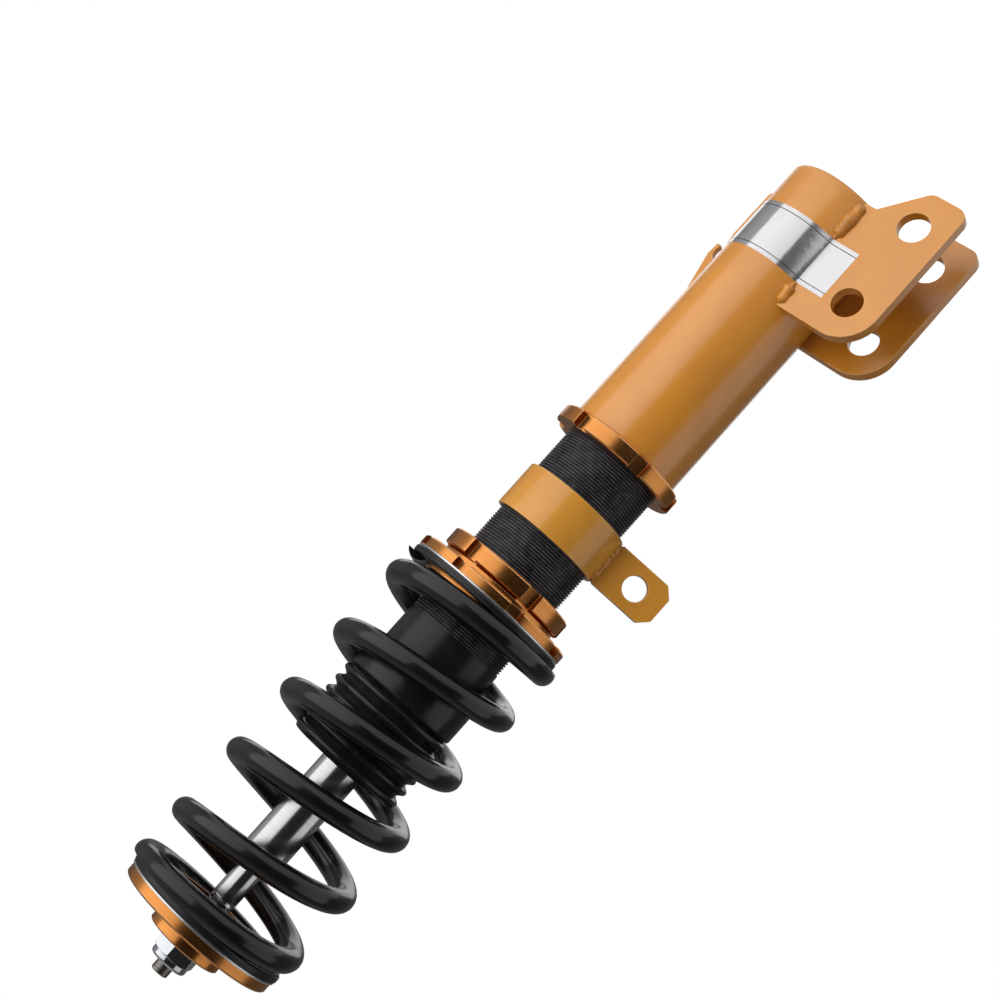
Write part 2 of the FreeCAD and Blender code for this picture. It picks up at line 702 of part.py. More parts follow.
def make_damper_body():
    return sleeve("damper_body", body_bore, S.thread_radius, S.body_bottom, body_top)


def make_end_cap():
    body = new_body("damper_end_cap")
    revolve(body, [
        (0.0, S.body_bottom + S.cap_dish),
        (fit_radius * 0.6, S.body_bottom),
        (fit_radius, S.body_bottom),
        (fit_radius, cap_top),
        (0.0, cap_top),
    ])
    return body


def make_base_valve():
    """A stepped disc between the end cap and the pressure cylinder, with ports."""
    body = new_body("base_valve")
    waist = S.cylinder_bore_radius - 3.0
    revolve(body, [
        (0.0, cap_top + 2.0),
        (waist, cap_top + 2.0),
        (waist, cap_top),
        (fit_radius, cap_top),
        (fit_radius, cylinder_low),
        (spigot_radius, cylinder_low),
        (spigot_radius, cylinder_low + S.valve_spigot_tall),
        (0.0, cylinder_low + S.valve_spigot_tall),
    ])
    hole = sketch_on(body, "XY_Plane")
    circle(hole, S.port_radius, S.cylinder_bore_radius * 0.55, 0.0)
    around(body, pocket(body, hole), S.valve_ports)
    return body


def make_rod_guide():
    body = new_body("rod_guide")
    revolve(body, [
        (bushing_outer, guide_low),
        (spigot_radius, guide_low),
        (spigot_radius, guide_flange_low),
        (fit_radius, guide_flange_low),
        (fit_radius, seal_low),
        (bushing_outer, seal_low),
    ])
    return body


def make_oil_seal():
    """A lip seal with a groove in each face."""
    body = new_body("oil_seal")
    lip = bushing_bore
    revolve(body, [
        (lip, seal_low + 1.0),
        (lip + 1.6, seal_low + 1.0),
        (lip + 1.6, seal_low + 3.0),
        (lip + 4.0, seal_low + 3.0),
        (lip + 4.0, seal_low),
        (fit_radius, seal_low),
        (fit_radius, gland_low),
        (lip + 4.0, gland_low),
        (lip + 4.0, gland_low - 2.0),
        (lip + 1.4, gland_low - 2.0),
        (lip + 0.8, gland_low),
        (lip, gland_low),
    ])
    return body


def make_gland_nut():
    """The threaded ring that closes the damper, with four spanner holes in its face."""
    body = sleeve("gland_nut", S.rod_radius + S.gland_play, fit_radius, gland_low, body_top)
    hole = sketch_on(body, "XY_Plane", lift=body_top)
    circle(hole, S.gland_hole_radius, (S.rod_radius + fit_radius) / 2, 0.0)
    around(body, pocket(body, hole, depth=S.gland_hole_deep, both_ways=False), S.gland_holes)
    return body


def make_bump_stop():
    """A waisted rubber stop on top of the gland."""
    body = new_body("bump_stop")
    bore = S.rod_radius + S.gland_play
    low = body_top
    third = S.bump_tall / 3
    revolve(body, [
        (bore, low),
        (S.bump_radius, low),
        (S.bump_radius, low + third),
        (S.bump_radius - 3.0, low + third + 2.0),
        (S.bump_radius - 0.5, low + 2 * third),
        (S.bump_radius - 4.0, low + S.bump_tall),
        (bore, low + S.bump_tall),
    ])
    return body


def make_dust_boot():
    """A skirt on the damper body, ribs above it and a lip round the rod."""
    body = new_body("dust_boot")
    skirt_bore = S.thread_radius
    pitch = (boot_top - boot_shoulder) / S.boot_ribs
    crest = pitch * 0.5
    slope = pitch * 0.12
    outside = [(skirt_bore, boot_low), (boot_skirt_radius, boot_low)]
    outside.append((boot_skirt_radius, boot_shoulder))
    outside.append((boot_valley_radius, boot_shoulder))
    for rib in range(int(S.boot_ribs.value)):
        foot = boot_shoulder + pitch * (rib + 0.26)
        outside.append((boot_valley_radius, foot))
        outside.append((boot_crest_radius, foot + slope))
        outside.append((boot_crest_radius, foot + slope + crest))
        if rib < int(S.boot_ribs.value) - 1:
            outside.append((boot_valley_radius, foot + 2 * slope + crest))
        else:
            outside.append((boot_crest_radius, boot_top))
    lip = S.rod_radius + S.seat_gap
    under = boot_top - S.boot_wall
    inner = boot_valley_radius - S.boot_wall
    outside.append((lip, boot_top))
    outside.append((lip, under))
    outside.append((inner, under))
    outside.append((inner, body_top + 1.0))
    outside.append((skirt_bore, body_top + 0.2))
    revolve(body, outside)
    return body


# Rings, perch and link band on the damper body's thread.


def slotted_ring(label, low, thick, azimuth):
    """A lock ring with square spanner slots round its rim."""
    ring = sleeve(label, thread_bore, ring_radius, low, low + thick)
    rims = rims_at(ring.Tip, ring_radius, low) + rims_at(ring.Tip, ring_radius, low + thick)
    dress(ring, "Chamfer", rims, S.ring_chamfer)
    slot = sketch_on(ring, "XY_Plane", turn=azimuth)
    floor = ring_radius - S.slot_depth
    half = S.slot_width / 2
    beyond = ring_radius + 2.0
    outline(slot, [(floor, -half), (beyond, -half), (beyond, half), (floor, half)])
    around(ring, pocket(ring, slot), S.spanner_slots)
    return ring


def make_perch():
    """The lower spring seat: a slotted flange with a hub below and a collar inside the spring."""
    body = new_body("spring_perch")
    hub_low = upper_ring_top
    revolve(body, [
        (thread_bore, hub_low),
        (perch_hub_radius - S.edge_break, hub_low),
        (perch_hub_radius, hub_low + S.edge_break),
        (perch_hub_radius, perch_flange_low),
        (perch_radius - S.edge_break, perch_flange_low),
        (perch_radius, perch_flange_low + S.edge_break),
        (perch_radius, perch_top),
        (collar_radius, perch_top),
        (collar_radius, perch_top + S.collar_tall - S.edge_break),
        (collar_radius - S.edge_break, perch_top + S.collar_tall),
        (thread_bore, perch_top + S.collar_tall),
    ])
    slot = sketch_on(body, "XY_Plane", turn=S.perch_azimuth)
    floor = perch_radius - S.perch_slot_depth
    half = S.perch_slot_width / 2
    beyond = perch_radius + 2.0
    outline(slot, [(floor, -half), (beyond, -half), (beyond, half), (floor, half)])
    around(body, pocket(body, slot), S.perch_slots)
    return body


def make_link_band():
    """A clamped strip round the damper body, with a tab for the anti-roll bar link."""
    body = sleeve("link_band", S.thread_radius - 1.0, band_outer, band_low, band_top)
    middle = band_low + S.band_tall / 2
    start = S.thread_radius + 0.5
    flange = sketch_on(body, "XZ_Plane", turn=S.clamp_azimuth)
    outline(flange, [
        (start, band_low),
        (clamp_reach - S.clamp_corner, band_low),
        (clamp_reach, band_low + S.clamp_corner),
        (clamp_reach, band_top - S.clamp_corner),
        (clamp_reach - S.clamp_corner, band_top),
        (start, band_top),
    ])
    pad(body, flange, S.clamp_gap + 2 * S.band_thick, both_ways=True)
    tab = sketch_on(body, "XZ_Plane", turn=S.tab_azimuth)
    relief = band_outer + S.tab_relief
    tab_low, tab_high = band_low + S.tab_step, band_top - S.tab_step
    outline(tab, [
        (start, band_low),
        (band_outer, band_low),
        (band_outer, band_low + S.tab_relief),
        (relief, tab_low),
        (tab_reach - S.tab_corner, tab_low),
        (tab_reach, tab_low + S.tab_corner),
        (tab_reach, tab_high - S.tab_corner),
        (tab_reach - S.tab_corner, tab_high),
        (relief, tab_high),
        (band_outer, band_top - S.tab_relief),
        (band_outer, band_top),
        (start, band_top),
    ])
    pad(body, tab, S.tab_thick, both_ways=True)
    slit = sketch_on(body, "XZ_Plane", turn=S.clamp_azimuth)
    low, high = band_low - 1.0, band_top + 1.0
    outline(slit, [
        (S.thread_radius - 3.0, low),
        (clamp_reach + 1.0, low),
        (clamp_reach + 1.0, high),
        (S.thread_radius - 3.0, high),
    ])
    pocket(body, slit, depth=S.clamp_gap)
    bore = sketch_on(body, "XY_Plane")
    circle(bore, thread_bore)
    pocket(body, bore)
    bolt_hole = sketch_on(body, "XZ_Plane", turn=S.clamp_azimuth)
    circle(bolt_hole, S.bolt_radius + S.bolt_hole_play, clamp_bolt_reach, middle)
    pocket(body, bolt_hole, depth=S.clamp_gap + 4 * S.band_thick)
    link_hole = sketch_on(body, "XZ_Plane", turn=S.tab_azimuth)
    circle(link_hole, S.tab_hole_radius, tab_hole_reach, middle)
    pocket(body, link_hole, depth=S.tab_thick * 2)
    return body


def make_band_bolt():
    """The clamp's bolt: a hexagon head and a shank across both flanges."""
    body = new_body("band_bolt")
    middle = band_low + S.band_tall / 2
    outside = S.clamp_gap / 2 + S.band_thick
    length = 2 * outside + S.bolt_nut_tall + S.bolt_tail
    shank = sketch_on(body, "XZ_Plane", turn=S.clamp_azimuth, lift=-outside)
    circle(shank, S.bolt_radius, clamp_bolt_reach, middle)
    pad(body, shank, length)
    head_lift = -(outside + S.bolt_head_tall)
    head = sketch_on(body, "XZ_Plane", turn=S.clamp_azimuth, lift=head_lift)
    hexagon(head, S.bolt_head_radius, clamp_bolt_reach, middle, 30.0)
    pad(body, head, S.bolt_head_tall)
    return body


def make_band_nut():
    body = new_body("band_nut")
    middle = band_low + S.band_tall / 2
    outside = S.clamp_gap / 2 + S.band_thick
    nut = sketch_on(body, "XZ_Plane", turn=S.clamp_azimuth, lift=outside)
    hexagon(nut, S.bolt_head_radius, clamp_bolt_reach, middle, 0.0)
    pad(body, nut, S.bolt_nut_tall)
    hole = sketch_on(body, "XZ_Plane", turn=S.clamp_azimuth, lift=outside)
    circle(hole, S.bolt_radius + S.thread_fit, clamp_bolt_reach, middle)
    pocket(body, hole, depth=S.bolt_nut_tall * 4)
    return body


# Spring: closed and ground at both ends, from arcs joined end to end.


def rise_at(turns, steady):
    """Height of the wire's middle above its lower tip, after so many turns."""
    wire = 2 * S.wire_radius.value
    half = S.spring_turns.value / 2
    mirrored = turns > half
    if mirrored:
        turns = S.spring_turns.value - turns
    rise = wire * min(turns, CLOSED_TURNS)
    if turns > CLOSED_TURNS:
        into = min(turns - CLOSED_TURNS, OPENING_TURNS)
        rise += wire * into + (steady - wire) * into * into / (2 * OPENING_TURNS)
    if turns > CLOSED_TURNS + OPENING_TURNS:
        rise += steady * (turns - CLOSED_TURNS - OPENING_TURNS)
    return rise, mirrored


def spring_line():
    """The wire's middle line as a function of turns, with its length in turns."""
    wire = 2 * S.wire_radius.value
    sunk = wire * GROUND_SHARE - S.wire_radius.value
    low = lower_pad_top.value - sunk
    high = spring_top.value + sunk
    closed = wire * CLOSED_TURNS + wire * OPENING_TURNS / 2
    open_turns = S.spring_turns.value / 2 - CLOSED_TURNS - OPENING_TURNS / 2
    steady = ((high - low) / 2 - closed) / open_turns

    def place(turns):
        rise, mirrored = rise_at(turns, steady)
        height = high - rise if mirrored else low + rise
        angle = math.radians(S.spring_azimuth.value + FULL_TURN * turns)
        radius = coil_radius.value
        return FreeCAD.Vector(radius * math.cos(angle), radius * math.sin(angle), height)

    return place


def heading(place, turns):
    """Direction of the wire, by a small step either way."""
    step = 1e-5
    ahead = min(turns + step, S.spring_turns.value)
    behind = max(turns - step, 0.0)
    way = place(ahead).sub(place(behind))
    way.normalize()
    return way


def arc_to(start, end, corner):
    """The arc from start to end whose end tangents meet at the corner."""
    middle = start.add(end).multiply(0.5)
    lean = corner.sub(middle)
    half_chord = end.sub(start).Length / 2
    turn = math.atan2(lean.Length, half_chord)
    lean.normalize()
    top = middle.add(lean.multiply(half_chord * math.tan(turn / 2)))
    return Part.Arc(start, top, end).toShape()


def make_spring():
    place = spring_line()
    spans = int(math.ceil(S.spring_turns.value * NODE_SPANS_PER_TURN))
    edges = []
    for k in range(spans):
        a = S.spring_turns.value * k / spans
        b = S.spring_turns.value * (k + 1) / spans
        start, end = place(a), place(b)
        leave, arrive = heading(place, a), heading(place, b)
        chord = end.sub(start)
        both = leave.add(arrive)
        along = chord.dot(both)
        bend = 2 * (1 - leave.dot(arrive))
        inside = along * along + bend * chord.dot(chord)
        reach = (math.sqrt(inside) - along) / bend
        first = start.add(leave * reach)
        second = end.sub(arrive * reach)
        joint = first.add(second).multiply(0.5)
        edges.append(arc_to(start, joint, first))
        edges.append(arc_to(joint, end, second))
    path = Part.Wire(edges)
    section = Part.Wire([Part.Circle(place(0.0), heading(place, 0.0), S.wire_radius.value).toShape()])
    tube = path.makePipeShell([section], True, False)
    wide = 4 * coil_radius.value
    for height in (lower_pad_top.value - wide, spring_top.value):
        corner = FreeCAD.Vector(-wide / 2, -wide / 2, height)
        tube = tube.cut(Part.makeBox(wide, wide, wide, corner))
    solid = tube.Solids[0]
    report_spring_gap(place)
    feature = doc.addObject("Part::Feature", "main_spring")
    feature.Label = "main_spring"
    feature.Shape = solid
    feature.Placement = FreeCAD.Placement(
        FreeCAD.Vector(-S.strut_offset.value, 0, 0), FreeCAD.Rotation()
    )
    return feature


def report_spring_gap(place):
    """Prints the least distance between the wire's surface and itself, on sampled points."""
    total = S.spring_turns.value
    count = int(total * GAP_SAMPLES_PER_TURN)
    points = [place(total * i / count) for i in range(count + 1)]
    apart = int(GAP_SAMPLES_PER_TURN * 0.5)
    least = min(
        points[i].distanceToPoint(points[j])
        for i in range(0, count + 1, 2)
        for j in range(i + apart, min(i + 3 * apart, count + 1), 2)
    )
    print("spring: least gap to itself %.2f mm" % (least - 2 * S.wire_radius.value))


# Upper seat, nut and the rod with what it carries inside the damper.


def make_upper_seat():
    """The top spring seat: a flange with a boss under the nut and a collar inside the spring."""
    body = new_body("upper_spring_seat")
    bore = S.stud_radius + S.running_gap
    collar_bore = collar_radius - S.collar_wall
    revolve(body, [
        (bore, seat_low),
        (collar_bore, seat_low),
        (collar_bore, seat_low - S.collar_tall),
        (collar_radius - S.edge_break, seat_low - S.collar_tall),
        (collar_radius, seat_low - S.collar_tall + S.edge_break),
        (collar_radius, seat_low),
        (seat_radius, seat_low),
        (seat_radius, seat_flange_top - S.ring_chamfer),
        (seat_radius - S.ring_chamfer, seat_flange_top),
        (S.boss_radius, seat_flange_top),
        (S.boss_radius, seat_top - S.small_break),
        (S.boss_radius - S.small_break, seat_top),
        (bore, seat_top),
    ])
    return body


def make_top_nut():
    """A lock nut: a hexagon with a round collar that holds the insert."""
    body = new_body("top_lock_nut")
    hexagon_sketch = sketch_on(body, "XY_Plane", lift=seat_top)
    hexagon(hexagon_sketch, S.nut_corner_radius, 0.0, 0.0, S.nut_azimuth)
    pad(body, hexagon_sketch, S.nut_tall)
    collar = sketch_on(body, "XY_Plane", lift=nut_top)
    circle(collar, S.nut_collar_radius)
    pad(body, collar, S.nut_collar_tall)
    bore = sketch_on(body, "XY_Plane")
    circle(bore, S.stud_radius + S.thread_fit)
    pocket(body, bore)
    groove = body.newObject("PartDesign::Groove", "insert_groove")
    sketch = sketch_on(body, "XZ_Plane")
    before = body.Shape.Volume
    outside = S.stud_radius + S.insert_wall
    outline(sketch, [
        (S.stud_radius - 0.5, nut_top),
        (outside, nut_top),
        (outside, nut_top + S.insert_tall),
        (S.stud_radius - 0.5, nut_top + S.insert_tall),
    ])
    groove.Profile = sketch
    groove.ReferenceAxis = (sketch, ["V_Axis"])
    groove.Angle = FULL_TURN
    settle(body, groove)
    if body.Shape.Volume > before - 1e-6:
        raise RuntimeError("top_lock_nut: the groove removed nothing")
    return body


def make_piston_rod():
    """The hollow rod, from its piston stud to the plain tip above the nut."""
    body = new_body("piston_rod")
    bore = S.spindle_radius + S.running_gap
    stud_low = piston_nut_low - 2.0
    revolve(body, [
        (0.0, stud_low),
        (S.stud_radius, stud_low),
        (S.stud_radius, stop_low),
        (S.rod_radius, stop_low),
        (S.rod_radius, rod_shoulder - S.edge_break),
        (S.rod_radius - S.edge_break, rod_shoulder),
        (S.stub_radius, rod_shoulder),
        (S.stub_radius, stud_start),
        (S.stud_radius, stud_start),
        (S.stud_radius, collar_top),
        (S.tip_radius, collar_top),
        (S.tip_radius, tip_top - S.small_break),
        (S.tip_radius - S.small_break, tip_top),
        (bore, tip_top),
        (bore, spindle_bottom - 1.0),
        (0.0, spindle_bottom - 1.0),
    ])
    return body


def make_spindle():
    """The damping adjuster: a long pin with a needle below and a hexagon socket on top."""
    body = new_body("adjuster_spindle")
    top = tip_top - S.spindle_sink
    revolve(body, [
        (0.0, spindle_bottom),
        (S.spindle_radius, spindle_bottom + 8.0),
        (S.spindle_radius, top),
        (0.0, top),
    ])
    socket = sketch_on(body, "XY_Plane", lift=top)
    hexagon(socket, S.socket_radius)
    pocket(body, socket, depth=S.socket_deep, both_ways=False)
    return body


def make_piston():
    """The piston, grooved for its band, with ports through it."""
    body = new_body("piston")
    outer = S.cylinder_bore_radius - S.piston_play
    bore = S.stud_radius
    middle = (piston_low + piston_top) / 2
    half = S.band_seal_tall / 2
    groove = S.cylinder_bore_radius - S.running_gap - S.band_seal_thick
    revolve(body, [
        (bore, piston_low),
        (outer, piston_low),
        (outer, middle - half),
        (groove, middle - half),
        (groove, middle + half),
        (outer, middle + half),
        (outer, piston_top),
        (bore, piston_top),
    ])
    hole = sketch_on(body, "XY_Plane")
    circle(hole, S.port_radius, (bore + outer) / 2 - 1.0, 0.0)
    around(body, pocket(body, hole), S.valve_ports)
    return body


def shim_pile(label, low):
    """Shims that step down in size, away from the piston's face."""
    body = new_body(label)
    upward = label.startswith("rebound")
    edge = []
    count = int(S.shims.value)
    for k in range(count):
        step = k if upward else count - 1 - k
        radius = shim_radius - S.shim_step * step
        edge.append((radius, low + S.shim_thick * k))
        edge.append((radius, low + S.shim_thick * (k + 1)))
    revolve(body, [(S.stud_radius, low)] + edge + [(S.stud_radius, low + shim_stack_tall)])
    return body


def make_piston_nut():
    body = new_body("piston_nut")
    flat = sketch_on(body, "XY_Plane", lift=piston_nut_low)
    hexagon(flat, S.piston_nut_radius)
    pad(body, flat, S.piston_nut_tall)
    bore = sketch_on(body, "XY_Plane")
    circle(bore, S.stud_radius)
    pocket(body, bore)
    return body


def build_all():
    """Every piece, in the order that a bench would lay them out."""
    band_middle = (piston_low + piston_top) / 2
    band_half = S.band_seal_tall / 2
    band_outside = S.cylinder_bore_radius - S.running_gap
    return [
        make_lower_tube(),
        make_base_plug(),
        make_clevis_ear("clevis_ear_left", 1.0),
        make_clevis_ear("clevis_ear_right", -1.0),
        make_hose_bracket(),
        make_welds(),
        slotted_ring("lower_lock_ring", S.tube_top, S.lower_ring_thick, S.lower_ring_azimuth),
        make_damper_body(),
        make_end_cap(),
        make_base_valve(),
        sleeve(
            "pressure_cylinder",
            S.cylinder_bore_radius,
            S.cylinder_bore_radius + S.cylinder_wall,
            cylinder_low,
            guide_flange_low,
        ),
        make_rod_guide(),
        sleeve("rod_bushing", bushing_bore, bushing_outer, guide_low, seal_low),
        make_oil_seal(),
        make_gland_nut(),
        make_bump_stop(),
        make_dust_boot(),
        make_link_band(),
        make_band_bolt(),
        make_band_nut(),
        slotted_ring("spring_lock_ring", upper_ring_low, S.upper_ring_thick, S.upper_ring_azimuth),
        make_perch(),
        sleeve("lower_slip_washer", washer_bore, washer_radius, perch_top, lower_washer_top),
        sleeve("lower_spring_pad", washer_bore, pad_radius, lower_washer_top, lower_pad_top),
        make_spring(),
        sleeve("upper_spring_pad", washer_bore, pad_radius, spring_top, upper_pad_top),
        sleeve("upper_slip_washer", washer_bore, washer_radius, upper_pad_top, seat_low),
        make_upper_seat(),
        make_top_nut(),
        sleeve(
            "nut_insert",
            S.stud_radius + S.thread_fit,
            S.stud_radius + S.insert_wall,
            nut_top,
            nut_top + S.insert_tall,
        ),
        make_piston_rod(),
        make_spindle(),
        sleeve("rebound_stop", S.rod_radius, S.stop_radius, stop_low, stop_top),
        shim_pile("rebound_shims", piston_top),
        make_piston(),
        sleeve(
            "piston_band",
            band_outside - S.band_seal_thick,
            band_outside,
            band_middle - band_half,
            band_middle + band_half,
        ),
        shim_pile("compression_shims", shims_low),
        make_piston_nut(),
    ]


def check_and_export(pieces):
    """Stops at a failed object or a bad shape, then writes one file for each piece."""
    doc.recompute()
    for item in doc.Objects:
        if "Invalid" in item.State or "Error" in item.State:
            raise RuntimeError(item.Label + " failed to compute")
    for piece in pieces:
        shape = piece.Shape
        if shape.isNull() or not shape.isValid() or shape.Volume <= 0:
            raise RuntimeError(piece.Label + " has a bad shape")
    os.makedirs("parts", exist_ok=True)
    for piece in pieces:
        piece.Shape.exportStep("parts/" + piece.Label + ".step")
        solids = len(piece.Shape.Solids)
        print("%-20s %d solid(s) %10.1f mm3" % (piece.Label, solids, piece.Shape.Volume))


check_and_export(build_all())
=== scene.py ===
"""Looks of a height-adjustable coilover strut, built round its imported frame.

Every length is in metres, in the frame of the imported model: the origin is the centre of the lower
clevis bore, +Z runs along the strut towards its top nut, and the strut's own axis stands at
x = -0.05. Plans and outlines are drawn about the strut's axis and moved there when they are made.
"""

import logging
import math
from dataclasses import dataclass, field
from enum import Enum
from typing import Any, Callable, Dict, List, Optional, Sequence, Tuple

import bmesh
import bpy
from bmesh.types import BMEdge, BMesh, BMFace, BMVert
from bpy.types import Material, Node, NodeSocket, NodeTree, Object
from mathutils import Matrix, Vector, noise
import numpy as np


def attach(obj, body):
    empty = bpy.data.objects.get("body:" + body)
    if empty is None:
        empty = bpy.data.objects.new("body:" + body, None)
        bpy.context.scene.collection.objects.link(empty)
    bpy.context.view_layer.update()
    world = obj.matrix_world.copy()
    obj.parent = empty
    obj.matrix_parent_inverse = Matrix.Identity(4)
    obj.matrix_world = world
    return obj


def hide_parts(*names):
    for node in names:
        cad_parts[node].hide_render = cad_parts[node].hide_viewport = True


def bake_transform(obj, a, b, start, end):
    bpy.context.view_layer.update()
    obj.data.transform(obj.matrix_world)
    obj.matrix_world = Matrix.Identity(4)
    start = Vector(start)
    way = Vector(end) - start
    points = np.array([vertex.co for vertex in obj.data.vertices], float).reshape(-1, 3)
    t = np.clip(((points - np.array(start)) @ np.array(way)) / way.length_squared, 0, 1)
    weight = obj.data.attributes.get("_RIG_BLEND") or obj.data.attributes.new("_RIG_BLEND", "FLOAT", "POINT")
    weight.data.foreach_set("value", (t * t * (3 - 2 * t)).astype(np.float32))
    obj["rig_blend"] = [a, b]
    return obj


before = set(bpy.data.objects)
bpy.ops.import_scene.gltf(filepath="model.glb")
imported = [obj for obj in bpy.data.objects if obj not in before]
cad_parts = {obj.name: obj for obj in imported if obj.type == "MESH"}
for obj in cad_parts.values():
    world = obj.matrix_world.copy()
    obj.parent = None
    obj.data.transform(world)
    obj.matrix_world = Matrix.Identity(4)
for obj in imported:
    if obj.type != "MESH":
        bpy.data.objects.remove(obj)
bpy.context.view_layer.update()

LOG = logging.getLogger("coilover")
MM = 0.001
AXIS_X = -50.0 * MM
FULL_TURN = 2 * math.pi
RIM = "rim"
# Rim-layer values for painted shade on slot walls and in hollows.
PAINTED_WALL_SHADE = -0.5
PAINTED_HOLLOW_SHADE = -0.9
MERGE = 2e-6
CUT = 1e-7

Colour = Tuple[float, float, float]
Outline = Sequence[Tuple[float, float]]


# ---------------------------------------------------------------- shader nodes


class Graph:
    """A node tree that is filled a node at a time."""

    def __init__(self, tree: NodeTree) -> None:
        """Takes over a tree and empties it."""
        self.tree = tree
        tree.nodes.clear()

    def add(self, kind: str, inputs: Optional[Dict[Any, Any]] = None,
            **settings: Any) -> Node:
        """Adds a node.

        Args:
            kind: the node's type name.
            inputs: values or output sockets, by the input's name or number.
            settings: properties of the node itself.

        Returns:
            The new node.
        """
        node = self.tree.nodes.new(kind)
        for key, value in settings.items():
            setattr(node, key, value)
        for key, value in (inputs or {}).items():
            if isinstance(value, NodeSocket):
                self.tree.links.new(value, node.inputs[key])
            else:
                node.inputs[key].default_value = value
        return node

    def math(self, operation: str, *values: Any) -> NodeSocket:
        """The result of a Math node on one to three values."""
        return self.add("ShaderNodeMath", dict(enumerate(values)), operation=operation).outputs[0]

    def grain(self, place: Any, scale: Any, detail: float) -> NodeSocket:
        """The value of a noise texture."""
        inputs = {"Vector": place, "Scale": scale, "Detail": detail}
        return self.add("ShaderNodeTexNoise", inputs).outputs["Fac"]

    def bump(self, height: Any, depth: float) -> NodeSocket:
        """The normal of a surface with marks of some depth."""
        inputs = {"Strength": 1.0, "Distance": depth, "Height": height}
        return self.add("ShaderNodeBump", inputs).outputs["Normal"]

    def spread(self, value: Any, low: float, high: float, to_low: float, to_high: float) -> Any:
        """A value moved from one range to another, held at its ends."""
        inputs = {0: value, 1: low, 2: high, 3: to_low, 4: to_high}
        return self.add("ShaderNodeMapRange", inputs, clamp=True).outputs[0]

    def blend(self, share: Any, first: Any, second: Any) -> NodeSocket:
        """One colour mixed towards another by a share.

        Args:
            share: how far towards the second.
            first: the colour at 0.
            second: the colour at 1.

        Returns:
            The mixed colour.
        """
        node = self.add("ShaderNodeMix", data_type="RGBA")
        for key, value in ((0, share), (6, first), (7, second)):
            if isinstance(value, NodeSocket):
                self.tree.links.new(value, node.inputs[key])
            elif key == 0:
                node.inputs[key].default_value = value
            else:
                node.inputs[key].default_value = (*value, 1.0)
        return node.outputs[2]


def open_material(name: str) -> Tuple[Material, Graph]:
    """Starts a material with an empty node tree.

    Args:
        name: its name.

    Returns:
        The material and the graph that fills it.
    """
    material = bpy.data.materials.new(name)
    material.use_nodes = True
    return material, Graph(material.node_tree)


class Effect(Enum):
    """The shared effects, each one node group."""

    SKIN = "skin_grain"
    TURNED = "turned_marks"
    RIM_WEAR_AND_PAINTED_LIGHT = "rim_wear_and_painted_light"


